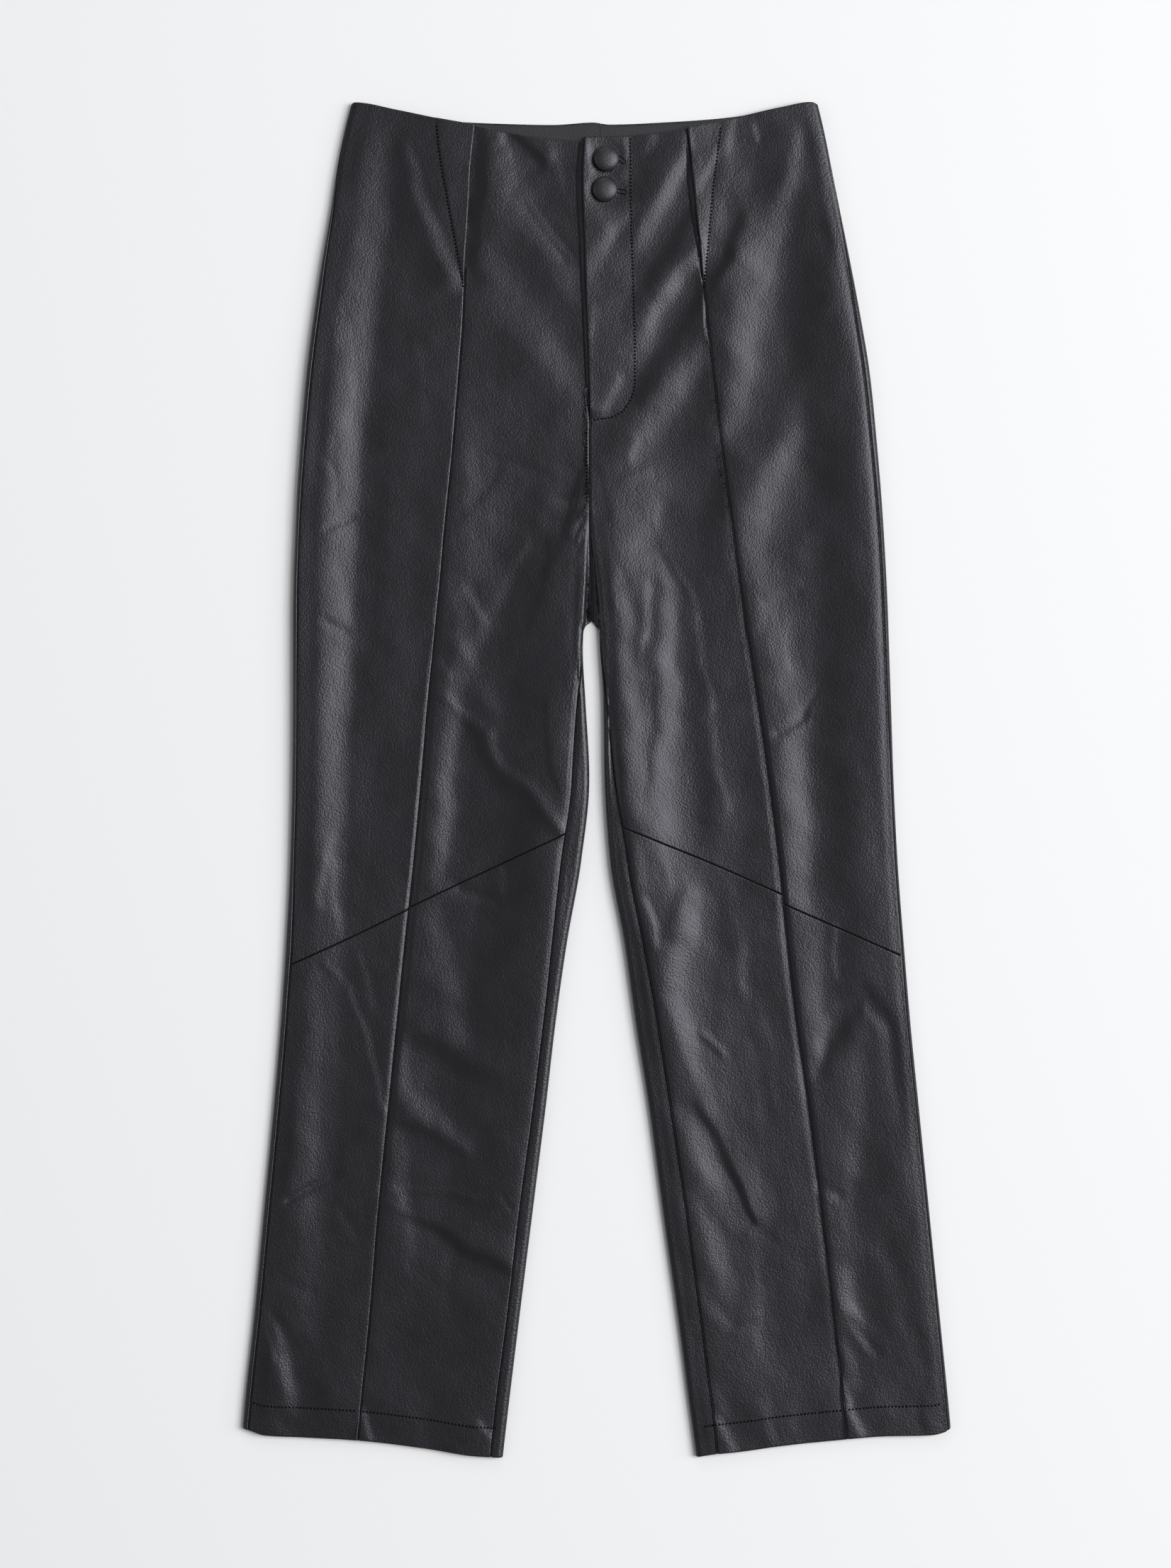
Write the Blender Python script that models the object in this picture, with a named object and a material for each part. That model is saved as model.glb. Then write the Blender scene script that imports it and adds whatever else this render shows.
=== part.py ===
"""High-waisted faux leather trousers, laid flat with the front up, piece by piece as they are cut and sewn.

The frame has +Y towards the waist, +X to the right of someone looking down on the front, and Z = 0 at the
surface that the trousers lie on. Left and right are the wearer's, so the right leg lies at -X. All sizes in
the tables and functions are millimetres; the meshes are made in metres.

Each leg is a flattened tube. Its section runs from the outseam round the outer fold, along the floor, round
the inner fold and up to the inseam as the back panel, and the front panels close it on top.
"""
import math

import bmesh
import bpy
import numpy as np

MM = 0.001

# Cloth and seams
WALL = 1.2
SEAM_GAP = 0.3
INSEAM_GAP = 0.44
LAP_GAP = 0.7
FACING_WALL = 1.0
FACING_ROWS = (1.3, 14.0, 30.0, 46.3)
FACING_COLUMNS = 9
FACING_LEVEL = 470.0
FACING_CLEARANCE = 14.0
HEM = 22.0
HEM_STEP = 1.5

# Folds of the flattened tube: how far a fold reaches inwards, how long it is round the cloth, and how far
# inside it the relief of the top layer fades out
FOLD_REACH = 4.0
FOLD_ARC = 6.3
FOLD_CLEARANCE = 14.0
INNER_CLEARANCE = 8.0
INNER_CREST_PLACE = 8.5
INNER_SLOPE = 56.0
INSEAM_TROUGH_WIDTH = 4.5

# Crotch: the centre front sinks into a valley between these heights, and the leg gap starts at its lower
# end. The slope into the valley starts at its foot, measured outwards from the inner fold.
VALLEY_START = 212.0
CROTCH = 117.0
GAP_START = 111.0
VALLEY_END = 110.0
BELOW_VALLEY = 109.5
VALLEY_FLOOR = 2.8
VALLEY_FOOT = {"right": 2.3, "left": 1.4}
VALLEY_SLOPE = {"right": 3.4, "left": 5.0}

# Tucks at the waist, from the dart point upwards
DART_POINT = 361.0
TUCK_FADE = 17.0
TUCK_UNDERLAP_START = 395.0
TUCK_UNDERLAP_FULL = 408.0
TUCK_UNDERLAP_PAST = 0.5
TUCK_LIFT_WIDTH = 45.0
TUCK_STEP = {"right": 0.9, "left": 0.0}
TUCK_STEP_WIDTH = 1.5
TUCK_OPEN = {"right": 0.0, "left": 0.6}
TUCK_OPEN_FROM = 400.0
TUCK_OPEN_LENGTH = 60.0
TUCK_GUIDE = 4.0

# Fly: the left centre front laps over an underlap of the right one, which sinks in a slot along the lap's
# edge
LAP_END = 260.0
FLY_RISE = 2.6
FLY_FADE_START = 262.0
FLY_FADE = 14.0
LAP_DOUBLED_PAST = 3.0
LAP_DOUBLED_FADE = 6.0
FLY_STITCH_END = 264.0
UNDERLAP_SINK = 1.5
SLOT_WIDTH = 4.2
SLOT_SLOPE = 3.6
UNDERLAP_EDGE = 8.0
UNDERLAP_FULL = 302.0
UNDERLAP_END = 286.0

# Covered buttons
BUTTON_RADIUS = 9.4
BUTTON_RIM = 1.5
BUTTON_DOME = 4.6
BUTTON_SEAT = 0.3
BUTTON_TILT = -0.07
BUTTON_BACK_INSET = 1.6
BUTTON_EDGE_INSET = 0.5
BUTTON_EDGE_HEIGHT = 0.5
BUTTON_RINGS = 5
BUTTON_SEGMENTS = 24
BUTTON_SEAT_POINTS = 7
BUTTON_PLACES = {"button_upper": (7.0, 458.0), "button_lower": (6.0, 435.5)}

SIDES = ("right", "left")
SIGN = {"right": -1.0, "left": 1.0}

# Stations down each leg. outer and inner are the x of the two folds, and above the crotch inner is the centre
# front. front_seam is the seam between side and centre front, and the folded edge of the tuck above the dart
# point. outseam and inseam are distances round the cloth from the fold up to the seam.
LEG_COLUMNS = ("y", "outer", "outseam", "front_seam", "inseam", "inner")
LEGS = {
    "right": (
        (505.0, -179.5, 1.0, -87.5, -1.4, -6.2),
        (480.0, -186.0, 1.0, -90.0, -1.4, -6.2),
        (450.0, -192.0, 2.2, -93.0, -1.4, -6.2),
        (420.0, -196.5, 3.8, -94.5, -1.4, -6.2),
        (380.0, -203.5, 5.4, -97.2, -1.4, -6.2),
        (340.0, -209.5, 6.3, -99.0, -1.4, -6.2),
        (300.0, -214.5, 6.3, -102.0, -1.4, -6.2),
        (240.0, -219.5, 5.8, -107.0, -1.4, -6.2),
        (210.0, -221.5, 5.5, -110.0, -1.4, -6.2),
        (180.0, -222.8, 5.3, -113.0, -1.4, -7.5),
        (150.0, -224.0, 5.5, -115.5, -1.4, -8.0),
        (120.0, -224.5, 5.8, -118.5, -1.4, -9.3),
        (95.0, -224.5, 5.5, -121.0, 1.8, -10.3),
        (60.0, -224.5, 5.3, -124.5, 8.0, -8.5),
        (0.0, -225.0, 5.3, -129.5, 15.0, -5.5),
        (-60.0, -226.5, 5.3, -135.0, 16.8, -11.5),
        (-120.0, -229.5, 6.6, -141.5, 13.0, -22.0),
        (-180.0, -233.5, 6.4, -147.5, 11.0, -30.5),
        (-240.0, -238.5, 6.3, -153.5, 11.3, -37.5),
        (-320.0, -246.0, 6.3, -161.5, 12.0, -47.5),
        (-400.0, -253.5, 6.3, -168.0, 11.3, -57.5),
        (-460.0, -260.0, 6.6, -174.0, 11.8, -64.8),
        (-505.0, -263.5, 6.3, -178.0, 11.3, -70.0),
    ),
    "left": (
        (505.0, 161.5, 1.0, 65.0, -1.4, -5.4),
        (480.0, 167.5, 1.4, 66.5, -1.4, -5.4),
        (450.0, 173.5, 2.9, 70.0, -1.4, -5.4),
        (420.0, 179.5, 4.2, 73.0, -1.4, -5.4),
        (380.0, 187.5, 5.8, 77.0, -1.4, -5.4),
        (340.0, 195.0, 7.3, 81.0, -1.4, -5.4),
        (300.0, 201.5, 7.8, 85.5, -1.4, -5.4),
        (240.0, 207.5, 7.6, 92.5, -1.4, -5.4),
        (210.0, 210.0, 7.2, 96.5, -1.4, -5.2),
        (180.0, 212.0, 6.8, 100.5, -1.4, -4.0),
        (150.0, 213.7, 6.8, 104.5, -1.4, -1.0),
        (120.0, 215.0, 6.7, 108.5, -1.4, 1.2),
        (95.0, 215.8, 6.5, 112.5, 0.8, 2.4),
        (60.0, 217.0, 6.3, 118.0, 4.0, 4.5),
        (0.0, 219.0, 5.4, 126.5, 9.8, 5.5),
        (-60.0, 222.0, 5.3, 134.0, 15.3, 9.5),
        (-120.0, 226.5, 5.3, 140.0, 16.2, 20.0),
        (-180.0, 231.5, 5.8, 147.0, 18.3, 28.5),
        (-240.0, 237.5, 5.8, 155.5, 18.0, 38.0),
        (-320.0, 245.5, 5.3, 165.5, 19.3, 48.7),
        (-400.0, 253.5, 5.3, 174.5, 18.8, 60.0),
        (-460.0, 259.5, 5.8, 181.5, 18.6, 67.8),
        (-505.0, 263.5, 5.8, 186.0, 17.3, 74.0),
    ),
}

# Edges and cross seams, as (x, y)
FRONT_WAIST = {
    "right": ((-186.0, 497.5), (-179.0, 500.0), (-147.5, 494.5), (-119.0, 488.5), (-89.5, 483.2),
              (-66.0, 478.0), (-39.0, 473.8), (-13.5, 471.5), (20.0, 471.5)),
    "left": ((-12.0, 474.5), (13.5, 475.0), (51.5, 478.5), (66.5, 481.5), (92.5, 486.5), (137.0, 496.5),
             (157.5, 500.0), (167.0, 497.5)),
}
BACK_WAIST = ((-186.0, 497.5), (-179.0, 499.0), (-150.0, 491.5), (-116.0, 487.2), (-74.5, 485.0),
              (-32.5, 484.0), (-3.0, 485.8), (9.5, 484.3), (51.5, 486.0), (93.0, 489.0), (130.0, 494.5),
              (157.5, 499.0), (167.0, 497.5))
KNEE_SEAM = {
    "front_side_right": ((-228.0, -137.5), (-182.0, -116.5), (-139.0, -95.5)),
    "front_centre_right": ((-137.0, -93.5), (-97.0, -74.5), (-58.5, -56.5), (-24.5, -40.5), (-14.0, -35.5)),
    "front_centre_left": ((16.0, -34.0), (81.5, -60.5), (136.0, -84.5)),
    "front_side_left": ((137.0, -91.5), (177.0, -109.0), (227.0, -131.0)),
}
HEM_EDGE = {
    "right": ((-264.0, -478.5), (-256.0, -480.5), (-245.5, -484.0), (-217.5, -485.5), (-177.0, -487.8),
              (-126.5, -493.8), (-89.5, -499.5), (-66.0, -500.8)),
    "left": ((70.0, -500.8), (84.5, -498.3), (106.5, -496.0), (135.0, -492.0), (184.0, -487.0),
             (210.0, -484.8), (246.5, -483.8), (256.0, -481.8), (264.0, -477.5)),
}

# Lines of the tucks and the fly, as (y, x)
TUCK_STITCH = {
    "right": ((361.0, -98.0), (390.5, -103.5), (428.5, -110.5), (461.5, -116.0), (490.0, -119.2)),
    "left": ((361.0, 79.0), (390.5, 81.5), (422.5, 84.5), (459.5, 88.5), (490.0, 93.0)),
}
FLY_EDGE = ((255.0, -5.4), (266.0, -5.5), (309.0, -6.5), (363.5, -8.5), (400.0, -9.5), (445.0, -11.0),
            (476.0, -9.3))
FLY_STITCH = ((264.0, 2.0), (267.5, 10.0), (272.5, 19.5), (281.5, 25.5), (293.0, 28.0), (316.5, 28.0),
              (371.5, 26.5), (426.5, 25.0), (480.0, 24.5))
CENTRE_BACK = ((CROTCH, -4.05), (300.0, -2.0), (486.0, 2.6))

# Height of the top layer where it lies flat, as (y, height)
LYING_HEIGHT = ((-505.0, 6.2), (-472.0, 6.2), (-430.0, 5.4), (-300.0, 5.0), (-100.0, 4.6), (150.0, 4.5),
                (380.0, 4.8), (450.0, 5.5), (505.0, 5.8))

# Height of the rolled folds, as (y, height)
OUTER_FOLD = {
    "right": ((-505.0, 6.6), (-300.0, 6.4), (-120.0, 6.8), (0.0, 8.3), (100.0, 8.8), (300.0, 8.8),
              (360.0, 8.3), (440.0, 7.3), (505.0, 6.5)),
    "left": ((-505.0, 6.6), (-60.0, 6.6), (60.0, 7.4), (505.0, 7.6)),
}
INNER_FOLD = ((-505.0, 6.6), (-300.0, 6.8), (-60.0, 8.0), (505.0, 8.0))

# Crest of the outer fold above its rolled edge, as (y, height), how far inside the edge it lies, and how
# wide the slope from it down to the panel is, as (y, width)
OUTER_CREST = {
    "right": ((-505.0, 0.0), (-150.0, 0.0), (-60.0, -0.1), (0.0, -0.2), (100.0, -0.4), (300.0, -0.4),
              (380.0, -0.2), (505.0, 0.0)),
    "left": ((-505.0, 0.2), (-150.0, 0.3), (0.0, 0.5), (250.0, 0.6), (380.0, 0.5), (505.0, 0.3)),
}
CREST_PLACE = {"right": 16.0, "left": 9.5}
OUTER_SLOPE = {
    "right": ((-505.0, 38.0), (-200.0, 36.0), (-60.0, 28.0), (0.0, 28.0), (100.0, 32.0), (250.0, 33.0),
              (340.0, 34.0), (400.0, 34.0), (450.0, 30.0), (505.0, 26.0)),
    "left": ((-505.0, 60.0), (-60.0, 70.0), (60.0, 48.0), (250.0, 48.0), (380.0, 56.0), (505.0, 60.0)),
}

# Crest of the inner fold above its rolled edge, highest near the crotch, as (y, height), and how far it
# lies from the inseam, as (y, distance)
INNER_CREST = ((-505.0, 0.1), (-300.0, 0.2), (-120.0, 0.5), (0.0, 0.8), (40.0, 0.4), (80.0, -0.1),
               (117.0, -0.4), (212.0, -0.4))
INSEAM_CREST = ((-505.0, 5.0), (-60.0, 6.0), (0.0, 9.0), (50.0, 8.0), (100.0, 6.5), (212.0, 6.5))

# Section of the cloth across a front seam, as (distance to its +X side, height): a trough between two
# crests, and how much of it there is down each leg, as (y, share)
SEAM_SECTION = {
    "right": ((-90.0, 0.0), (-60.0, 0.0), (-34.0, -0.25), (-3.2, 0.1), (0.0, -0.7), (5.5, 0.45),
              (34.0, -0.3), (60.0, 0.0), (90.0, 0.0)),
    "left": ((-90.0, 0.0), (-60.0, 0.0), (-34.0, -0.2), (-5.0, 0.15), (0.0, -0.5), (5.0, 0.5),
             (34.0, -0.35), (60.0, 0.0), (90.0, 0.0)),
}
SEAM_SHARE = {
    "right": ((-505.0, 0.05), (-400.0, 0.15), (-300.0, 0.3), (-230.0, 0.6), (-120.0, 0.95),
              (-20.0, 0.85), (50.0, 0.5), (120.0, 0.25), (250.0, 0.12), (345.0, 0.1), (375.0, 0.0),
              (505.0, 0.0)),
    "left": ((-505.0, 0.1), (-400.0, 0.3), (-300.0, 0.55), (-200.0, 0.8), (-60.0, 0.85), (30.0, 0.7),
             (120.0, 0.4), (250.0, 0.15), (345.0, 0.1), (375.0, 0.0), (505.0, 0.0)),
}
INSEAM_TROUGH = ((-505.0, 0.08), (-300.0, 0.14), (-150.0, 0.3), (0.0, 0.55), (60.0, 0.6), (117.0, 0.5))

# The relief of the top layer sinks at most this far, as (y, depth), so that it stays clear of the layers
# under it
DEEPEST = ((-505.0, 1.8), (400.0, 1.8), (440.0, 1.3), (505.0, 1.3))

# Folds of the top layer, each with a shape and the points of its line. A ridge is a low rounded rise along
# its line, or a trough where its height is negative; a wave rises on the left of its line and sinks on the
# right, and fades out slowly on both sides. Each point is x, y, half width and height.
WAVE_TAIL = 18.0
FOLD_END = 1.4
CORNER_BLEND = 2.0
TOP_FOLDS = (
    # hip and thigh of the right leg
    ("ridge", ((-162.0, 330.0, 12.0, -0.5), (-170.0, 250.0, 12.0, -0.9), (-172.0, 150.0, 12.0, -0.9),
               (-178.0, 60.0, 11.0, -0.5))),
    ("wave", ((-174.0, 474.0, 6.0, 0.1), (-174.0, 440.0, 8.0, 0.15), (-173.0, 396.0, 9.0, 0.15))),
    ("wave", ((-139.0, 463.0, 5.0, 0.4), (-131.0, 438.0, 6.0, 0.6), (-119.0, 402.0, 7.5, 0.8),
              (-106.0, 368.0, 7.0, 0.8))),
    ("wave", ((-80.0, 482.0, 9.0, 0.1), (-66.0, 452.0, 13.0, 0.35), (-50.0, 420.0, 14.0, 0.8),
              (-33.0, 390.0, 12.0, 0.75), (-18.0, 360.0, 8.0, 0.4))),
    ("wave", ((-88.0, 400.0, 10.0, 0.3), (-68.0, 360.0, 16.0, 0.85), (-42.0, 326.0, 16.0, 0.9),
              (-12.0, 284.0, 10.0, 0.5))),
    ("wave", ((-85.0, 484.0, 5.0, -0.3), (-87.0, 440.0, 6.0, -0.8), (-89.0, 404.0, 5.5, -0.7),
              (-93.0, 380.0, 4.0, -0.3))),
    ("wave", ((-84.0, 240.0, 18.0, 0.4), (-86.0, 180.0, 22.0, 0.65), (-92.0, 120.0, 16.0, 0.45))),
    ("wave", ((-50.0, 172.0, 4.0, 0.2), (-72.0, 138.0, 6.0, 0.3), (-86.0, 106.0, 7.0, 0.45),
              (-100.0, 80.0, 9.0, 0.7), (-107.0, 58.0, 8.0, 0.5))),
    ("ridge", ((-112.0, 57.0, 4.0, 0.3), (-98.0, 46.0, 5.0, 0.6), (-84.0, 34.0, 6.0, 0.95),
               (-73.0, 12.0, 6.0, 0.95), (-52.0, -9.0, 6.0, 0.85), (-28.0, -38.0, 4.5, 0.7))),
    ("wave", ((-106.0, 46.0, 7.0, 0.4), (-109.0, 10.0, 9.0, 0.75), (-113.0, -36.0, 9.0, 0.75),
              (-116.0, -72.0, 7.0, 0.35))),
    # below the knee of the right leg
    ("wave", ((-121.0, -104.0, 9.0, 0.3), (-112.0, -132.0, 10.0, 0.5), (-99.0, -156.0, 7.0, 0.35))),
    ("wave", ((-108.0, -152.0, 10.0, 0.3), (-104.0, -186.0, 11.0, 0.4))),
    ("wave", ((-191.0, -144.0, 3.0, 0.12), (-180.0, -156.0, 3.5, 0.25), (-170.0, -190.0, 3.5, 0.22),
              (-160.0, -226.0, 3.5, 0.25), (-156.0, -240.0, 3.5, 0.3))),
    ("wave", ((-134.0, -192.0, 8.0, -0.5), (-112.0, -206.0, 10.0, -1.0), (-84.0, -218.0, 8.0, -0.6))),
    ("wave", ((-144.0, -202.0, 6.0, 0.3), (-141.0, -228.0, 7.0, 0.5), (-126.0, -252.0, 6.0, 0.4))),
    ("wave", ((-128.0, -238.0, 6.0, 0.3), (-112.0, -254.0, 8.0, 0.5), (-98.0, -270.0, 6.0, 0.3))),
    ("wave", ((-143.0, -253.0, 5.0, -0.3), (-102.0, -276.0, 5.0, -0.3))),
    ("wave", ((-147.0, -262.0, 7.0, 0.25), (-143.0, -300.0, 8.0, 0.4), (-138.0, -326.0, 8.0, 0.3))),
    ("wave", ((-130.0, -325.0, 4.0, -0.3), (-100.0, -346.0, 6.0, -0.9), (-68.0, -361.0, 5.0, -0.6))),
    ("wave", ((-212.0, -218.0, 10.0, 0.3), (-213.0, -258.0, 12.0, 0.55), (-213.0, -292.0, 11.0, 0.35),
              (-212.0, -356.0, 12.0, 0.2))),
    ("wave", ((-235.0, -404.0, 4.5, 0.4), (-231.0, -430.0, 7.0, 0.95), (-225.0, -458.0, 6.5, 0.7))),
    # fly and hip of the left leg
    ("wave", ((66.0, 474.0, 5.0, 0.4), (60.0, 448.0, 8.0, 1.15), (47.0, 418.0, 9.0, 1.3),
              (34.0, 396.0, 7.0, 0.7))),
    ("wave", ((76.0, 394.0, 5.0, 0.5), (62.0, 374.0, 7.5, 1.1), (48.0, 346.0, 9.0, 1.1),
              (33.0, 310.0, 8.0, 0.4))),
    ("wave", ((72.0, 310.0, 10.0, 0.5), (56.0, 284.0, 15.0, 1.3), (41.0, 256.0, 12.0, 1.0),
              (30.0, 236.0, 7.0, 0.3))),
    ("wave", ((148.0, 478.0, 5.0, 0.25), (144.0, 448.0, 8.0, 0.8), (134.0, 404.0, 14.0, 1.4),
              (122.0, 364.0, 18.0, 1.8), (113.0, 322.0, 17.0, 1.7), (105.0, 290.0, 13.0, 1.1),
              (102.0, 258.0, 10.0, 0.6))),
    ("wave", ((146.0, 248.0, 9.0, 0.6), (132.0, 222.0, 16.0, 1.7), (120.0, 196.0, 15.0, 1.4),
              (117.0, 164.0, 11.0, 0.7), (118.0, 148.0, 8.0, 0.4))),
    ("wave", ((32.0, 262.0, 16.0, 0.4), (35.0, 216.0, 27.0, 1.7), (31.0, 176.0, 25.0, 1.8),
              (30.0, 144.0, 14.0, 0.8))),
    ("wave", ((51.0, 160.0, 5.0, 0.4), (53.0, 128.0, 8.5, 1.0), (54.0, 70.0, 9.0, 0.95),
              (52.0, 10.0, 11.0, 1.1), (49.0, -34.0, 12.0, 0.9))),
    ("wave", ((15.0, 146.0, 6.0, 0.35), (22.0, 110.0, 7.5, 0.7), (27.0, 50.0, 8.5, 0.85),
              (30.0, -20.0, 9.5, 0.8))),
    ("wave", ((132.0, 146.0, 12.0, 0.4), (136.0, 112.0, 16.0, 0.8), (142.0, 74.0, 13.0, 0.8),
              (146.0, 56.0, 8.0, 0.4))),
    ("wave", ((146.0, 36.0, 11.0, 0.9), (149.0, 0.0, 14.0, 1.3), (151.0, -44.0, 15.0, 1.25),
              (151.0, -76.0, 12.0, 0.8))),
    # below the knee of the left leg
    ("wave", ((71.0, -84.0, 8.0, 0.4), (67.0, -112.0, 10.0, 0.8), (59.0, -144.0, 11.0, 0.95),
              (62.0, -178.0, 11.0, 0.9), (73.0, -208.0, 8.0, 0.6), (86.0, -240.0, 6.0, 0.3))),
    ("wave", ((64.0, -246.0, 8.0, 0.35), (78.0, -272.0, 11.0, 0.7), (94.0, -302.0, 8.0, 0.35))),
    ("wave", ((74.0, -238.0, 3.5, -0.15), (84.0, -260.0, 4.0, -0.55), (99.0, -291.0, 3.8, -0.85),
              (118.0, -326.0, 2.2, -0.6))),
    ("wave", ((77.0, -312.0, 7.0, 0.4), (85.0, -342.0, 9.0, 0.65), (96.0, -372.0, 8.0, 0.35))),
    ("ridge", ((164.0, -214.0, 6.0, -0.5), (176.0, -180.0, 7.0, -1.2), (198.0, -158.0, 8.0, -1.0),
               (214.0, -180.0, 8.0, -1.1), (228.0, -240.0, 9.0, -0.6))),
    ("wave", ((157.0, -92.0, 10.0, 0.45), (161.0, -140.0, 10.0, 0.5), (163.0, -196.0, 7.0, 0.4))),
    ("wave", ((192.0, -178.0, 9.0, 0.4), (194.0, -215.0, 11.0, 0.7), (192.0, -254.0, 10.0, 0.5),
              (189.0, -284.0, 10.0, 0.6), (188.0, -300.0, 7.0, 0.3))),
    ("wave", ((183.0, -368.0, 7.0, 0.5), (189.0, -390.0, 9.0, 0.9), (197.0, -412.0, 6.0, 0.4))),
)

# Grid lines of the panels, as millimetres from the inner edge or as shares of the height
CENTRE_INNER_LINES = (0.0, 3.0, 6.5, 11.0, 17.0, 24.5, 33.0, 38.0, 44.0)
CENTRE_UPPER_STATIONS = (472.5, 462.0, 446.0, 428.0, 408.0, 386.0, 362.0, 338.0, 318.0, 302.0, 285.0, 270.0,
                         255.0, 238.0, 212.0, 192.0, 172.0, 152.0, 134.0, 117.0, 111.0, 104.0, 95.0, 82.0,
                         68.0, 50.0, 28.0, 6.0, -16.0, -36.0)
SIDE_UPPER_ROWS = 26
LOWER_ROWS = 18
CENTRE_COLUMNS = 5
SIDE_UPPER_COLUMNS = 7
SIDE_LOWER_COLUMNS = 6
BACK_STATIONS = (485.4, 463.0, 441.0, 419.0, 397.0, 372.0, 345.0, 316.0, 284.0, 250.0, 212.0, 180.0, 148.0,
                 117.0, 111.0, 104.0, 95.0, 82.0, 68.0, 50.0, 28.0, 6.0, -16.0, -36.0, -64.0, -98.0, -132.0,
                 -168.0, -206.0, -246.0, -290.0, -336.0, -382.0, -428.0, -477.5)
FOLD_STEPS = 6
FLOOR_STEPS = 4
INNER_STEPS = 8
HEM_ROWS = 3
SEAM_LINE = 8.0
OUTSEAM_LINE = 5.0
CENTRE_BACK_STRIP = 12.0
FIRST_GUESS = 480.0
EDGE_ROUNDS = 8


def smoothstep(value):
    """Rise smoothly from 0 to 1 while value goes from 0 to 1."""
    share = np.clip(value, 0.0, 1.0)
    return share * share * (3.0 - 2.0 * share)


def mix(low, high, share):
    return low + (high - low) * share


def even_slopes(position, value):
    """Slopes at the points of a table that keep the curve through them from overshooting."""
    width = np.diff(position)
    secant = np.diff(value) / width
    slope = np.empty_like(value)
    slope[0], slope[-1] = secant[0], secant[-1]
    for index in range(1, len(value) - 1):
        before, after = secant[index - 1], secant[index]
        if before * after <= 0.0:
            slope[index] = 0.0
            continue
        weight_before = 2.0 * width[index] + width[index - 1]
        weight_after = width[index] + 2.0 * width[index - 1]
        slope[index] = (weight_before + weight_after) / (weight_before / before + weight_after / after)
    return slope


def curve(points, at):
    """Read a smooth curve through (position, value) points; past its ends it goes on straight."""
    table = np.array(sorted(points), float)
    position, value = table[:, 0], table[:, 1]
    slope = even_slopes(position, value)
    at = np.asarray(at, float)
    span = np.clip(np.searchsorted(position, at) - 1, 0, len(position) - 2)
    width = position[span + 1] - position[span]
    share = np.clip((at - position[span]) / width, 0.0, 1.0)
    start = (1.0 + 2.0 * share) * (1.0 - share) ** 2 * value[span]
    start = start + share * (1.0 - share) ** 2 * width * slope[span]
    end = share ** 2 * (3.0 - 2.0 * share) * value[span + 1]
    end = end + share ** 2 * (share - 1.0) * width * slope[span + 1]
    before = np.minimum(at - position[0], 0.0) * slope[0]
    after = np.maximum(at - position[-1], 0.0) * slope[-1]
    return start + end + before + after


def leg_curve(side, column, y):
    place = LEG_COLUMNS.index(column)
    return curve([(row[0], row[place]) for row in LEGS[side]], y)


def centre_front(y):
    """The seam below the fly, which runs down the middle of the valley to the crotch."""
    return 0.5 * (leg_curve("right", "inner", y) + leg_curve("left", "inner", y))


def tuck_edge(side, y):
    return leg_curve(side, "front_seam", y)


def tuck_stitch(side, y):
    """The stitched line of the tuck; below the dart point a grid line keeps a little off the seam."""
    toward_centre = -SIGN[side]
    width = toward_centre * (tuck_edge(side, y) - curve(TUCK_STITCH[side], np.maximum(y, DART_POINT)))
    return tuck_edge(side, y) - toward_centre * np.maximum(width, TUCK_GUIDE)


def fold_section(shape, off, distance, half_width):
    """Section of a fold of height 1, off and distance millimetres away from its line."""
    if shape == "ridge":
        return np.exp(-(distance / half_width) ** 2)
    inside = np.clip(distance / half_width, 0.0, 1.0)
    tail = 1.0 - smoothstep((distance - half_width) / (half_width + WAVE_TAIL))
    return np.where(off < 0.0, 1.0, -1.0) * (1.5 * inside - 0.5 * inside ** 3) * tail


def fold_shape(x, y, shape, points):
    """Height of one fold at a point; its width and height change evenly between the points of its line."""
    upward = 1.0 if points[-1][1] > points[0][1] else -1.0
    relief, total = 0.0 * x, 0.0 * x
    last = len(points) - 2
    for index, (start, end) in enumerate(zip(points, points[1:])):
        length = math.hypot(end[0] - start[0], end[1] - start[1])
        along_x, along_y = (end[0] - start[0]) / length, (end[1] - start[1]) / length
        along = (x - start[0]) * along_x + (y - start[1]) * along_y
        off = upward * ((x - start[0]) * along_y - (y - start[1]) * along_x)
        before, after = np.maximum(-along, 0.0), np.maximum(along - length, 0.0)
        past_end = before * (index == 0) + after * (index == last)
        corner = before * (index > 0) + after * (index < last)
        share = np.clip(along / length, 0.0, 1.0)
        half_width = mix(start[2], end[2], share)
        height = mix(start[3], end[3], share) * fold_section(shape, off, np.hypot(off, corner), half_width)
        fade = np.exp(-(past_end / (FOLD_END * half_width)) ** 2)
        weight = (off ** 2 + (before + after) ** 2 + CORNER_BLEND ** 2) ** -4
        relief = relief + weight * height * fade
        total = total + weight
    return relief / total


def fold_relief(x, y):
    """Sum of the folds at a point of the top layer."""
    relief = 0.0 * x
    for shape, points in TOP_FOLDS:
        relief = relief + fold_shape(x, y, shape, points)
    return relief


def beside_fold(distance, crest_place, crest, slope_width, fold_height, lying):
    """Rise above the lying level beside a fold: up to a crest and then down to the panel."""
    swell = crest * smoothstep((distance - FOLD_REACH) / (crest_place - FOLD_REACH))
    return (fold_height + swell - lying) * (1.0 - smoothstep((distance - crest_place) / slope_width))


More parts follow.
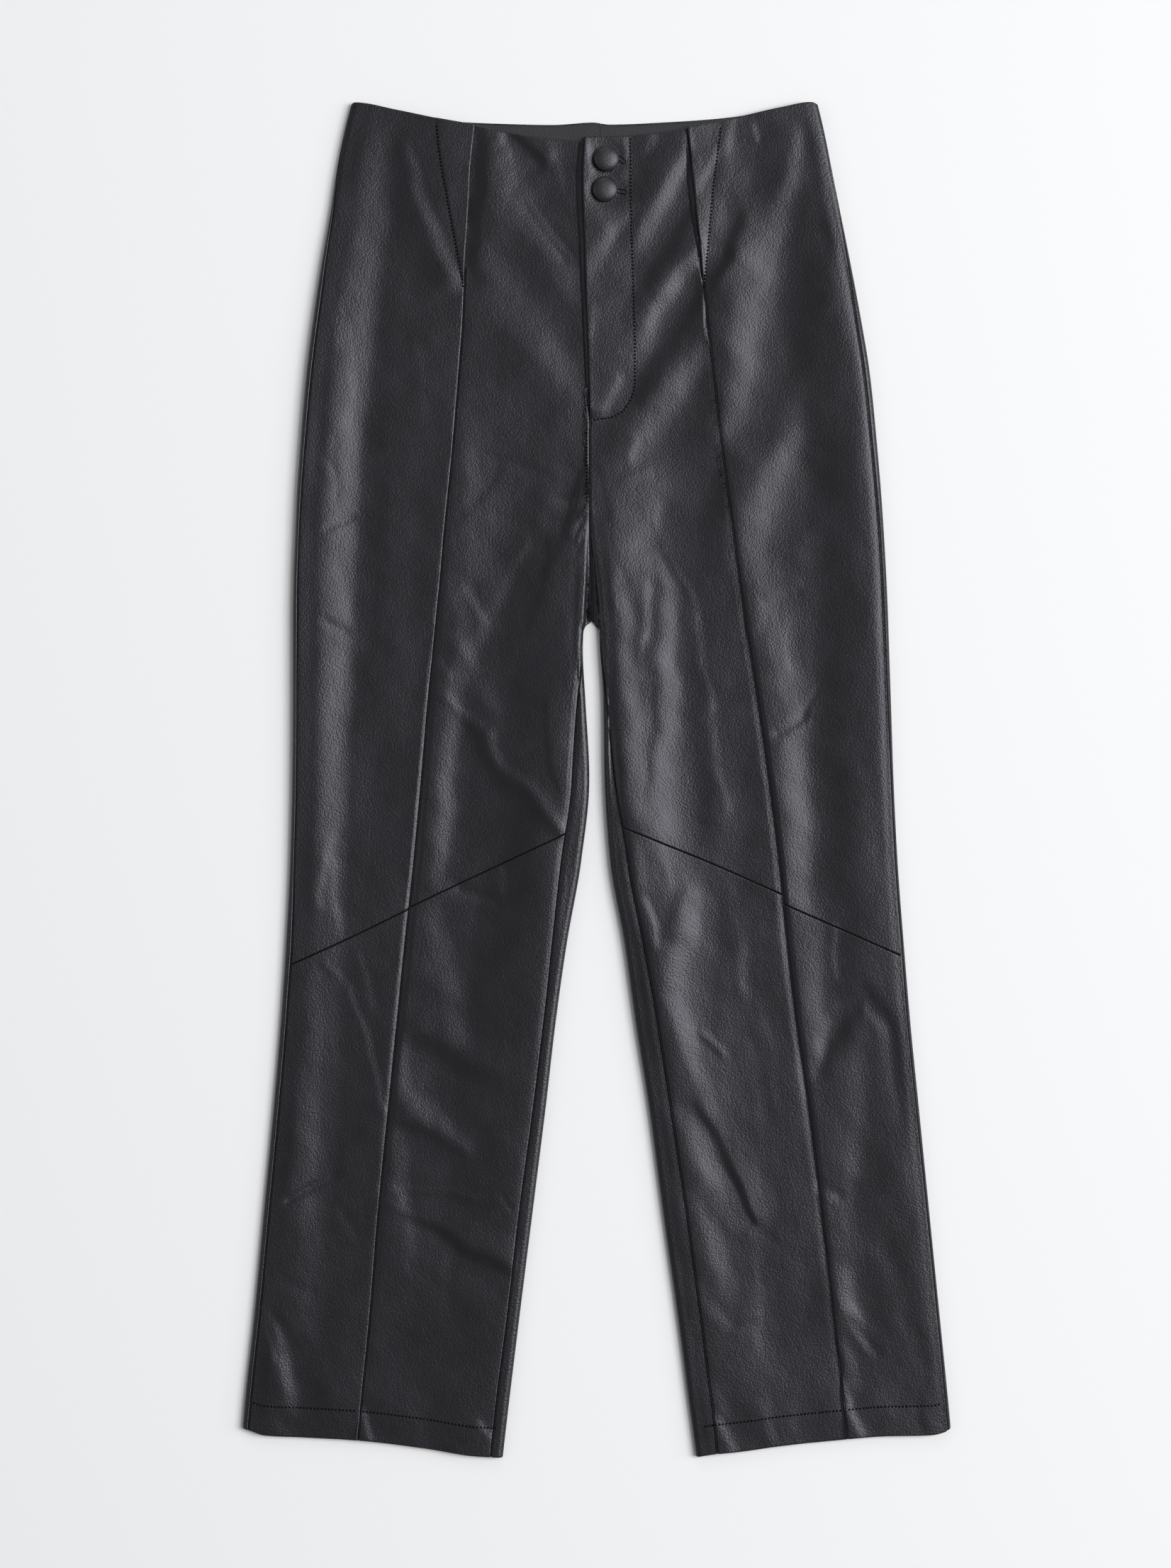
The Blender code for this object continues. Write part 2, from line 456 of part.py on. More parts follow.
def top_height(side, x, y):
    """Height of the outer face of the top layer between the two folds of a leg."""
    sign = SIGN[side]
    outer_distance = sign * (leg_curve(side, "outer", y) - x)
    inner_distance = sign * (x - leg_curve(side, "inner", y))
    lying = curve(LYING_HEIGHT, y)
    leg_share = smoothstep((VALLEY_START - y) / (VALLEY_START - CROTCH))
    outer_rise = beside_fold(outer_distance, CREST_PLACE[side], curve(OUTER_CREST[side], y),
                             curve(OUTER_SLOPE[side], y), curve(OUTER_FOLD[side], y), lying)
    inseam_distance = leg_curve(side, "inseam", y) + FOLD_REACH - FOLD_ARC
    crest_place = np.maximum(inseam_distance + curve(INSEAM_CREST, y), INNER_CREST_PLACE)
    crest = curve(INNER_CREST, np.minimum(y, VALLEY_START))
    inner_rise = beside_fold(inner_distance, crest_place, crest, INNER_SLOPE, curve(INNER_FOLD, y), lying)
    trough = 1.0 - smoothstep(np.abs(inner_distance - inseam_distance) / INSEAM_TROUGH_WIDTH)
    height = lying + outer_rise + inner_rise * leg_share
    height = height - curve(INSEAM_TROUGH, np.minimum(y, CROTCH)) * trough * leg_share
    relief = curve(SEAM_SHARE[side], y) * curve(SEAM_SECTION[side], x - leg_curve(side, "front_seam", y))
    relief = relief + fold_relief(x, y)
    deepest = curve(DEEPEST, y)
    relief = np.where(relief < 0.0, -deepest * np.tanh(-relief / deepest), relief)
    clear_of_outer = smoothstep((outer_distance - FOLD_REACH) / FOLD_CLEARANCE)
    clear_of_inner = mix(1.0, smoothstep((inner_distance - FOLD_REACH) / INNER_CLEARANCE), leg_share)
    height = height + relief * clear_of_outer * clear_of_inner
    above_floor = smoothstep((inner_distance + VALLEY_FOOT[side]) / VALLEY_SLOPE[side])
    sunk = VALLEY_FLOOR + (height - VALLEY_FLOOR) * above_floor
    valley = leg_share * (y > VALLEY_END)
    return mix(height, sunk, valley)


def round_fold(edge, inwards, arc, fold_height):
    """Section point of a half-round fold, arc millimetres round from its outermost point."""
    angle = 0.5 * math.pi * np.clip(arc / FOLD_ARC, -1.0, 1.0)
    beyond = np.maximum(np.abs(arc) - FOLD_ARC, 0.0)
    x = edge + inwards * (FOLD_REACH * (1.0 - np.cos(angle)) + beyond)
    z = 0.5 * fold_height * (1.0 + np.sin(angle))
    return x, z


def arc_to_place(edge, inwards, arc):
    """Turn a distance round the cloth into a place on the unrolled top layer."""
    return edge + inwards * (FOLD_REACH + arc - FOLD_ARC)


def surface_point(side, place, y):
    """Outer face of a leg: place is x on top, and runs on round the folds past either edge."""
    sign = SIGN[side]
    outer, inner = leg_curve(side, "outer", y), leg_curve(side, "inner", y)
    outer_arc = sign * (outer - place) - FOLD_REACH + FOLD_ARC
    inner_arc = sign * (place - inner) - FOLD_REACH + FOLD_ARC
    x, z = np.array(place, float), top_height(side, place, y)
    outer_x, outer_z = round_fold(outer, -sign, outer_arc, curve(OUTER_FOLD[side], y))
    x, z = np.where(outer_arc < FOLD_ARC, outer_x, x), np.where(outer_arc < FOLD_ARC, outer_z, z)
    inner_x, inner_z = round_fold(inner, sign, inner_arc, curve(INNER_FOLD, y))
    below_crotch = 1.0 - smoothstep((y - GAP_START) / (CROTCH - GAP_START))
    rolled = np.where(inner_arc < FOLD_ARC, below_crotch, 0.0)
    return np.stack([mix(x, inner_x, rolled), y + 0.0 * x, mix(z, inner_z, rolled)], axis=-1)


def normals(point, place, y, step=0.4):
    """Outward unit normals of a surface given as point(place, y)."""
    along = point(place + step, y) - point(place - step, y)
    up = point(place, y + step) - point(place, y - step)
    normal = np.cross(along, up)
    return normal / np.linalg.norm(normal, axis=-1, keepdims=True)


def waist_and_hem(side):
    return (lambda x: curve(FRONT_WAIST[side], x)), (lambda x: curve(HEM_EDGE[side], x))


def column_ends(point, line, top, bottom):
    """Where a grid line meets the top and the bottom edge of its panel."""
    ends = []
    for edge, y in ((top, FIRST_GUESS), (bottom, -FIRST_GUESS)):
        for _ in range(EDGE_ROUNDS):
            x = float(point(line(y), np.array(y))[..., 0])
            y = float(edge(x))
        ends.append(y)
    return ends


def panel_grid(point, lines, top, bottom, shares, hem=False):
    """Places and heights up the leg of every grid point, row by row from the top edge down."""
    places, heights = [], []
    for line in lines:
        start, end = column_ends(point, line, top, bottom)
        last = end + HEM if hem else end
        rows = [mix(start, last, share) for share in shares]
        if hem:
            rows += [end + HEM - HEM_STEP, end + 0.5 * HEM, end]
        heights.append(rows)
        places.append([float(line(y)) for y in rows])
    return np.array(places).T, np.array(heights).T


def closed_wall(name, outer, inner, material):
    """Make one closed solid between two grids of points, in millimetres."""
    rows, columns = outer.shape[:2]
    vertices = np.concatenate([outer.reshape(-1, 3), inner.reshape(-1, 3)]) * MM
    offset = rows * columns
    faces = []
    for row in range(rows - 1):
        for column in range(columns - 1):
            a = row * columns + column
            b, c, d = a + columns, a + columns + 1, a + 1
            faces += [(a, b, c), (a, c, d)]
            faces += [(a + offset, c + offset, b + offset), (a + offset, d + offset, c + offset)]
    left = [row * columns for row in range(rows)]
    right = [row * columns + columns - 1 for row in range(rows)]
    bottom = [(rows - 1) * columns + column for column in range(columns)]
    top = list(range(columns))
    rim = top + right[1:] + bottom[-2::-1] + left[-2:0:-1]
    for a, b in zip(rim, rim[1:] + rim[:1]):
        faces += [(a, b, b + offset), (a, b + offset, a + offset)]
    return add_mesh(name, vertices, faces, material)


def add_mesh(name, vertices, faces, material):
    mesh = bpy.data.meshes.new(name)
    mesh.from_pydata([tuple(vertex) for vertex in vertices], [], faces)
    edit = bmesh.new()
    edit.from_mesh(mesh)
    bmesh.ops.recalc_face_normals(edit, faces=edit.faces)
    edit.to_mesh(mesh)
    edit.free()
    mesh.materials.append(material)
    mesh.shade_smooth()
    mesh.set_sharp_from_angle(angle=math.radians(40.0))
    piece = bpy.data.objects.new(name, mesh)
    bpy.context.scene.collection.objects.link(piece)
    return piece


def principled(name, colour, roughness):
    material = bpy.data.materials.new(name)
    material.use_nodes = True
    shader = material.node_tree.nodes["Principled BSDF"]
    shader.inputs["Base Color"].default_value = (*colour, 1.0)
    shader.inputs["Roughness"].default_value = roughness
    shader.inputs["Metallic"].default_value = 0.0
    return material


def hem_share(heights):
    """1 in the turned-up hem and 0 above it, for each row of a grid."""
    share = np.zeros_like(heights)
    share[-HEM_ROWS:, :] = 1.0
    return share


def tuck_offsets(side, x, y):
    """How far the side front's two faces lie above the top layer: it laps over the centre front."""
    toward_centre = -SIGN[side]
    stitch = curve(TUCK_STITCH[side], np.maximum(y, DART_POINT))
    past = toward_centre * (x - stitch)
    width = np.maximum(toward_centre * (tuck_edge(side, y) - stitch), 1.0)
    present = smoothstep((y - DART_POINT) / TUCK_FADE)
    lift = (WALL + LAP_GAP) * smoothstep((past + TUCK_LIFT_WIDTH) / TUCK_LIFT_WIDTH) * present
    step = smoothstep(past / TUCK_STEP_WIDTH)
    doubled = WALL * mix(np.clip(past / width, 0.0, 1.0), step, TUCK_STEP[side]) * present
    standing = smoothstep(past / width) * smoothstep((y - TUCK_OPEN_FROM) / TUCK_OPEN_LENGTH)
    lift = lift + TUCK_OPEN[side] * standing
    return lift + doubled, lift - WALL


def fly_offsets(x, y):
    """How far the left centre front's two faces lie above the top layer: a doubled lap."""
    present = smoothstep((y - FLY_FADE_START) / FLY_FADE)
    stitch = curve(FLY_STITCH, np.maximum(y, FLY_STITCH_END))
    slope = np.clip((stitch - x) / (stitch - curve(FLY_EDGE, y)), 0.0, 1.0)
    over = FLY_RISE * slope * present
    doubled = WALL * smoothstep((stitch + LAP_DOUBLED_PAST - x) / LAP_DOUBLED_FADE) * present
    return over, over - WALL - doubled


def slot_depth(past):
    """Share of a slot's depth, past millimetres beyond the edge over it: steep first, then level."""
    share = np.clip((past + SLOT_WIDTH) / SLOT_SLOPE, 0.0, 1.0)
    return 1.0 - (1.0 - share) ** 2


def underlap_sink(x, y):
    """How far the right centre front sinks at and under the fly lap."""
    present = smoothstep((y - FLY_FADE_START) / FLY_FADE)
    return UNDERLAP_SINK * slot_depth(x - curve(FLY_EDGE, y)) * present


def front_offsets(node, x, y):
    """Outer and inner face of a front panel, measured from the top layer's outer face."""
    if node == "front_centre_upper_left":
        return fly_offsets(x, y)
    if node == "front_centre_upper_right":
        sunk = underlap_sink(x, y)
        return -sunk, -sunk - WALL
    if node.startswith("front_side_upper"):
        return tuck_offsets(node.rsplit("_", 1)[1], x, y)
    return 0.0 * x, 0.0 * x - WALL


def front_panel(node, side, lines, top, bottom, shares, material, hem=False):
    """A front panel between two seams, laid on the leg's top layer."""
    order = lines if SIGN[side] > 0.0 else lines[::-1]

    def point(place, y):
        return surface_point(side, np.asarray(place, float), np.asarray(y, float))

    places, heights = panel_grid(point, order, top, bottom, shares, hem)
    base = point(places, heights)
    normal = normals(point, places, heights)
    over, under = front_offsets(node, base[..., 0], heights)
    if hem:
        under = under - WALL * hem_share(heights)
    outer = base + normal * over[..., None]
    inner = base + normal * under[..., None]
    return closed_wall(node, outer, inner, material)


def seam_place(side, seam, y, shift):
    """Place of the outseam or the inseam, moved by shift millimetres towards the front panel."""
    sign = SIGN[side]
    if seam == "outseam":
        arc = leg_curve(side, "outseam", y)
        return arc_to_place(leg_curve(side, "outer", y), -sign, arc + shift)
    arc = leg_curve(side, "inseam", y)
    return arc_to_place(leg_curve(side, "inner", y), sign, arc + shift)


def centre_inner_place(side, y):
    """Inner edge of a centre front: fly lap or underlap, then the centre seam, then the inseam."""
    sign = SIGN[side]
    half_gap = 0.5 * SEAM_GAP
    y = np.asarray(y, float)
    seam = centre_front(y) + sign * half_gap
    if side == "left":
        upper = curve(FLY_EDGE, y) + half_gap
    else:
        open_share = smoothstep((y - UNDERLAP_END) / (UNDERLAP_FULL - UNDERLAP_END))
        upper = mix(curve(FLY_EDGE, y) - half_gap, UNDERLAP_EDGE, open_share)
    place = np.where(y > LAP_END, upper, seam)
    leg_share = 1.0 - smoothstep((y - GAP_START) / (CROTCH - GAP_START))
    return mix(place, seam_place(side, "inseam", np.minimum(y, CROTCH), 0.5 * INSEAM_GAP), leg_share)


def centre_outer_place(side, y):
    """Outer edge of a centre front: the front seam, and under the tuck its stitched line."""
    sign = SIGN[side]
    seam = leg_curve(side, "front_seam", y) - sign * 0.5 * SEAM_GAP
    under = curve(TUCK_STITCH[side], np.maximum(y, DART_POINT)) - sign * TUCK_UNDERLAP_PAST
    share = smoothstep((y - TUCK_UNDERLAP_START) / (TUCK_UNDERLAP_FULL - TUCK_UNDERLAP_START))
    return mix(seam, under, share)


def spread_lines(start, end, count):
    """Grid lines at even shares between two edges, without the two edges themselves."""
    shares = [(index + 1.0) / (count + 1.0) for index in range(count)]
    return [lambda y, share=share: mix(start(y), end(y), share) for share in shares]


def station_shares(stations):
    return [(stations[0] - y) / (stations[0] - stations[-1]) for y in stations]


def even_shares(count):
    return [index / count for index in range(count + 1)]


def centre_lines(side, spread):
    """Grid lines of a centre front from its inner edge to its outer edge."""
    sign = SIGN[side]

    def inner(y, distance=0.0):
        return centre_inner_place(side, y) + sign * distance

    def outer(y):
        return centre_outer_place(side, y)

    def near_outer(y):
        return outer(y) - sign * SEAM_LINE

    last = CENTRE_INNER_LINES[-1]
    lines = [lambda y, distance=distance: inner(y, distance) for distance in CENTRE_INNER_LINES]
    return lines + spread_lines(lambda y: inner(y, last), near_outer, spread) + [near_outer, outer]


def side_lines(side, upper, spread):
    """Grid lines of a side front from the front seam or the tuck's fold to the outseam."""
    sign = SIGN[side]
    half_gap = 0.5 * SEAM_GAP

    def inner(y):
        return leg_curve(side, "front_seam", y) + sign * half_gap

    def outer(y):
        return seam_place(side, "outseam", y, half_gap)

    def near_outer(y):
        return seam_place(side, "outseam", y, OUTSEAM_LINE)

    def near_inner(y):
        return inner(y) + sign * SEAM_LINE

    if not upper:
        return [inner, near_inner] + spread_lines(near_inner, near_outer, spread) + [near_outer, outer]

    def stitched(y):
        return tuck_stitch(side, y)

    def foot(y):
        return stitched(y) + sign * TUCK_LIFT_WIDTH

    halfway = spread_lines(inner, stitched, 1)
    before_foot = spread_lines(stitched, foot, 1)
    return ([inner] + halfway + [stitched] + before_foot + [foot]
            + spread_lines(foot, near_outer, spread) + [near_outer, outer])


def build_fronts(side, material):
    waist, hem = waist_and_hem(side)
    knee_centre = KNEE_SEAM["front_centre_" + side]
    knee_side = KNEE_SEAM["front_side_" + side]
    half_gap = 0.5 * SEAM_GAP
    shares = station_shares(CENTRE_UPPER_STATIONS)
    front_panel("front_centre_upper_" + side, side, centre_lines(side, CENTRE_COLUMNS), waist,
                lambda x: curve(knee_centre, x) + half_gap, shares, material)
    front_panel("front_side_upper_" + side, side, side_lines(side, True, SIDE_UPPER_COLUMNS), waist,
                lambda x: curve(knee_side, x) + half_gap, even_shares(SIDE_UPPER_ROWS), material)
    lower = even_shares(LOWER_ROWS)
    lower_centre = centre_lines(side, CENTRE_COLUMNS)
    lower_centre = [lower_centre[0]] + lower_centre[2::2]
    front_panel("front_centre_lower_" + side, side, lower_centre,
                lambda x: curve(knee_centre, x) - half_gap, hem, lower, material, hem=True)
    front_panel("front_side_lower_" + side, side, side_lines(side, False, SIDE_LOWER_COLUMNS),
                lambda x: curve(knee_side, x) - half_gap, hem, lower, material, hem=True)


def back_point(side, place, y):
    """Outer face of the back panel.

    place runs from 0 at the outseam to 1 where the outer fold meets the floor, 2 where the floor ends at
    the inner fold, and 3 at the inseam; above the crotch the last stretch lies on the floor up to the
    centre back.
    """
    sign = SIGN[side]
    half_gap = 0.5 * SEAM_GAP
    first = np.clip(place, 0.0, 1.0)
    outer_arc = mix(leg_curve(side, "outseam", y) - half_gap, -FOLD_ARC, first)
    outer_place = arc_to_place(leg_curve(side, "outer", y), -sign, outer_arc)
    points = surface_point(side, outer_place, y)
    floor_outer = leg_curve(side, "outer", y) - sign * FOLD_REACH
    centre_back = curve(CENTRE_BACK, y) + sign * half_gap
    hip_end = centre_back + sign * CENTRE_BACK_STRIP
    leg_end = leg_curve(side, "inner", y) + sign * FOLD_REACH
    below_crotch = 1.0 - smoothstep((y - GAP_START) / (CROTCH - GAP_START))
    floor_inner = mix(hip_end, leg_end, below_crotch)
    second = np.clip(place - 1.0, 0.0, 1.0)
    floor = np.stack([mix(floor_outer, floor_inner, second), y, 0.0 * y], axis=-1)
    points = np.where((place > 1.0)[..., None], floor, points)
    third = np.clip(place - 2.0, 0.0, 1.0)
    hip = np.stack([mix(hip_end, centre_back, third), y, 0.0 * y], axis=-1)
    leg_y = np.minimum(y, CROTCH)
    inner_arc = mix(-FOLD_ARC, leg_curve(side, "inseam", leg_y) - 0.5 * INSEAM_GAP, third)
    x, z = round_fold(leg_curve(side, "inner", leg_y), sign, inner_arc, curve(INNER_FOLD, leg_y))
    z = np.where(inner_arc > FOLD_ARC, top_height(side, x, np.minimum(y, BELOW_VALLEY)), z)
    leg = np.stack([x, y, z], axis=-1)
    inner = mix(hip, leg, below_crotch[..., None])
    return np.where((place > 2.0)[..., None], inner, points)


def back_normals(side, place, y, step_place=0.02, step_y=0.4):
    """Outward normals of the back panel; at the two floor lines they point straight down."""
    ahead = back_point(side, np.minimum(place + step_place, 3.0), y)
    behind = back_point(side, np.maximum(place - step_place, 0.0), y)
    up = back_point(side, place, y + step_y) - back_point(side, place, y - step_y)
    normal = np.cross(up, ahead - behind) * SIGN[side] * -1.0
    normal = normal / np.linalg.norm(normal, axis=-1, keepdims=True)
    flat = (place > 0.98) & (place < 2.02)
    return np.where(flat[..., None], np.array([0.0, 0.0, -1.0]), normal)


def build_back(side, material):
    waist, hem = waist_and_hem(side)
    fold_places = [index / FOLD_STEPS for index in range(FOLD_STEPS + 1)]
    floor_places = [1.0 + (index + 1.0) / FLOOR_STEPS for index in range(FLOOR_STEPS)]
    inner_places = [2.0 + (index + 1.0) / INNER_STEPS for index in range(INNER_STEPS)]
    column_places = fold_places + floor_places + inner_places
    shares = station_shares(BACK_STATIONS)
    places, heights = [], []
    for place in column_places:
        def point(value, y, place=place):
            return back_point(side, np.array(place + 0.0 * value), np.array(y))
        edge = waist if place <= 0.5 else (lambda x: curve(BACK_WAIST, x))
        start, end = column_ends(point, lambda y: 0.0, edge, hem)
        rows = [mix(start, end + HEM, share) for share in shares]
        rows += [end + HEM - HEM_STEP, end + 0.5 * HEM, end]
        heights.append(rows)
        places.append([place] * len(rows))
    places, heights = np.array(places).T, np.array(heights).T
    outer = back_point(side, places, heights)
    thickness = WALL * (1.0 + hem_share(heights))
    inner = outer - back_normals(side, places, heights) * thickness[..., None]
    closed_wall("back_" + side, outer, inner, material)


def build_facing(side, material):
    """Flat facing inside the back waist, from the centre back to near the side fold."""
    sign = SIGN[side]
    low = WALL + SEAM_GAP
    start = CENTRE_BACK[-1][1] + sign * 0.5 * SEAM_GAP
    end = float(leg_curve(side, "outer", FACING_LEVEL)) - sign * FACING_CLEARANCE
    top_face, under_face = [], []
    for depth in FACING_ROWS:
        line = []
        for index in range(FACING_COLUMNS + 1):
            x = mix(start, end, index / FACING_COLUMNS)
            line.append((x, float(curve(BACK_WAIST, x)) - depth))
        top_face.append([(x, y, low + FACING_WALL) for x, y in line])
        under_face.append([(x, y, low) for x, y in line])
    closed_wall("back_facing_" + side, np.array(top_face), np.array(under_face), material)


def build_button(name, centre, material):
    """A covered button: a flat back, a rounded rim and a low dome, seated on the fly lap."""
    x, y = centre
    reach = np.linspace(-BUTTON_RADIUS, BUTTON_RADIUS, BUTTON_SEAT_POINTS)
    off_x, off_y = np.meshgrid(reach, reach)
    over, _ = fly_offsets(x + off_x, y + off_y)
    lap = top_height("left", x + off_x, y + off_y) + over - BUTTON_TILT * off_x
    seat = float(np.max(lap[np.hypot(off_x, off_y) <= BUTTON_RADIUS + 0.1])) + BUTTON_SEAT
    profile = [(BUTTON_RADIUS - BUTTON_BACK_INSET, 0.0)]
    profile.append((BUTTON_RADIUS - BUTTON_EDGE_INSET, BUTTON_EDGE_HEIGHT))
    for index in range(BUTTON_RINGS):
        angle = 0.5 * math.pi * index / BUTTON_RINGS
        height = BUTTON_RIM + (BUTTON_DOME - BUTTON_RIM) * math.sin(angle)
        profile.append((BUTTON_RADIUS * math.cos(angle), height))
    vertices = [(x, y, seat), (x, y, seat + BUTTON_DOME)]
    for radius, height in profile:
        for index in range(BUTTON_SEGMENTS):
            angle = 2.0 * math.pi * index / BUTTON_SEGMENTS
            across, up = radius * math.cos(angle), radius * math.sin(angle)
            vertices.append((x + across, y + up, seat + height + BUTTON_TILT * across))
    faces = []
    last = 2 + (len(profile) - 1) * BUTTON_SEGMENTS
    for index in range(BUTTON_SEGMENTS):
        following = (index + 1) % BUTTON_SEGMENTS
        faces.append((0, 2 + following, 2 + index))
        faces.append((1, last + index, last + following))
        for ring in range(len(profile) - 1):
            a = 2 + ring * BUTTON_SEGMENTS + index
            b = 2 + ring * BUTTON_SEGMENTS + following
            faces += [(a, b, b + BUTTON_SEGMENTS), (a, b + BUTTON_SEGMENTS, a + BUTTON_SEGMENTS)]
    add_mesh(name, np.array(vertices) * MM, faces, material)


def main():
    for existing in list(bpy.data.objects):
        bpy.data.objects.remove(existing, do_unlink=True)
    leather = principled("faux_leather", (0.024, 0.024, 0.026), 0.42)
    facing = principled("facing", (0.02, 0.02, 0.022), 0.5)
    covered = principled("button_cover", (0.026, 0.026, 0.028), 0.42)
    for side in SIDES:
        build_fronts(side, leather)
        build_back(side, leather)
        build_facing(side, facing)
    for name, centre in BUTTON_PLACES.items():
        build_button(name, centre, covered)


main()
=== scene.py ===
"""Faux leather trousers laid flat with the front up: fine cloth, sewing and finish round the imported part.

The frame is the part's: +Y towards the waist, +X to the right of someone looking down on the front, Z = 0
at the surface that the trousers lie on. Left and right are the wearer's, so the right leg lies at -X. Sizes
in the tables and functions are millimetres, and the meshes are made in metres. The solids' own forms are
repeated here, and the smaller folds, seam grooves, rolled edges and stitches are added to them.
"""

import math

import bpy
import numpy as np
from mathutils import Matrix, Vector


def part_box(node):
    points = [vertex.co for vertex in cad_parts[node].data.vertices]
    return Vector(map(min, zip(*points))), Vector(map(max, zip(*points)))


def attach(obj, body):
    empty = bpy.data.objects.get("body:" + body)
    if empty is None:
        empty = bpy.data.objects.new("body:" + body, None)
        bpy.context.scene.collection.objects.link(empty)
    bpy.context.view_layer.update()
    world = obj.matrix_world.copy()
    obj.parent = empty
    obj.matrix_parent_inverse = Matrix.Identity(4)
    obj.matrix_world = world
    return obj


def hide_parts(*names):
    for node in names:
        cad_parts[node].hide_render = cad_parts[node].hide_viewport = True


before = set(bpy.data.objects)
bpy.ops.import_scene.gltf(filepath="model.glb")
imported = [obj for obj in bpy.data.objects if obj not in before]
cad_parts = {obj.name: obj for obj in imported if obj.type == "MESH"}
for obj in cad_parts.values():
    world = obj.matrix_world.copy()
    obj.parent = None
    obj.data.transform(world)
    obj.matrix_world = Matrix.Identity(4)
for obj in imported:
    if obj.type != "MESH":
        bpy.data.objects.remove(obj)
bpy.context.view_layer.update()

MM = 0.001
SIDES = ("right", "left")
SIGN = {"right": -1.0, "left": 1.0}

# Cloth and seams, as in the solids
WALL = 1.2
SEAM_GAP = 0.3
INSEAM_GAP = 0.44
LAP_GAP = 0.5
HEM = 22.0

# Facing: how far it starts below the back waist, and at what level and distance from the outer fold it ends
FACING_WALL = 1.0
FACING_DEPTH = 45.0
FACING_EDGE = 1.3
FACING_ROUNDING = 0.4
FACING_LEVEL = 470.0
FACING_CLEARANCE = 14.0

# Rolled folds at both edges of a leg, and the crest, slope and trough beside the inner one
FOLD_REACH = 4.0
FOLD_ARC = 6.3
FOLD_CLEARANCE = 14.0
INNER_CLEARANCE = 8.0
INNER_CREST_PLACE = 8.5
INNER_SLOPE = 56.0
INSEAM_TROUGH_WIDTH = 4.5

# Valley between the legs, from its start down to the crotch, where the gap between them opens. Its floor
# starts beside the right leg and rises towards the left one, as much for each millimetre as the tilt says.
# The backs' inner ends are read a little below it.
VALLEY_START = 212.0
CROTCH = 117.0
GAP_START = 111.0
VALLEY_END = 110.0
BELOW_VALLEY = 109.5
VALLEY_FLOOR = 2.8
VALLEY_TILT = 0.16
VALLEY_TILT_WIDTH = 8.0
VALLEY_FOOT = {"right": 1.3, "left": 0.2}
VALLEY_SLOPE = {"right": 3.4, "left": 3.2}

# Tucks: they fade out at the dart point, lie on an underlap of the centre front, and the left one stands off
DART_POINT = 361.0
TUCK_FADE = 17.0
TUCK_UNDERLAP_START = 374.0
TUCK_UNDERLAP_FULL = 388.0
TUCK_UNDERLAP_PAST = 0.5
TUCK_LIFT_WIDTH = 45.0
TUCK_STEP = {"right": 0.9, "left": 0.0}
TUCK_STEP_WIDTH = 1.5
TUCK_OPEN = {"right": 0.0, "left": 0.6}
TUCK_OPEN_FROM = 400.0
TUCK_OPEN_LENGTH = 60.0
TUCK_GUIDE = 4.0
TUCK_SLOT = 1.5
TUCK_SLOT_START = 364.0
TUCK_SLOT_RISE = 14.0
TUCK_SLOT_END = 452.0
TUCK_SLOT_FALL = 26.0

# Fly: the left front's lap rises to its edge and is doubled up to its stitches, over the right one's underlap
LAP_END = 260.0
LAP_DOUBLED_PAST = 3.0
LAP_DOUBLED_FADE = 6.0
LAP_FOLD_START = 266.0
LAP_FOLD_FADE = 8.0
FLY_FADE_START = 262.0
FLY_FADE = 14.0
FLY_STITCH_END = 264.0
FLY_RISE = 1.9
FLY_LIP = 0.1
FLY_LIP_WIDTH = 9.0
UNDERLAP_SINK = 1.7
UNDERLAP_EDGE = 8.0
UNDERLAP_FULL = 302.0
UNDERLAP_END = 286.0

# Slots, the dark steps beside the fly lap and beside the open part of the left tuck
SLOT_WALL = 0.4
SLOT_SHALLOW = 0.35
SLOT_HIDDEN = 6.0
SLOT_GUIDE = 5.0

# Covered buttons, the gathers of their covers, and the dimple round each in the lap
BUTTON_RADIUS = 9.4
BUTTON_RIM = 1.5
BUTTON_DOME = 4.6
BUTTON_BACK_INSET = 1.6
BUTTON_EDGE_INSET = 0.5
BUTTON_EDGE_HEIGHT = 0.4
BUTTON_FULLNESS = 0.86
BUTTON_RINGS = 18
BUTTON_SEGMENTS = 72
BUTTON_TILT = -0.07
BUTTON_PLACES = {"button_upper": (7.0, 458.0), "button_lower": (6.0, 435.5)}
BUTTON_DIMPLE = 0.6
BUTTON_DIMPLE_WIDTH = 4.5
GATHER_COUNT = 17.0
GATHER_DEPTH = 0.06
GATHER_TOP = 0.8
GATHER_FADE = 1.5

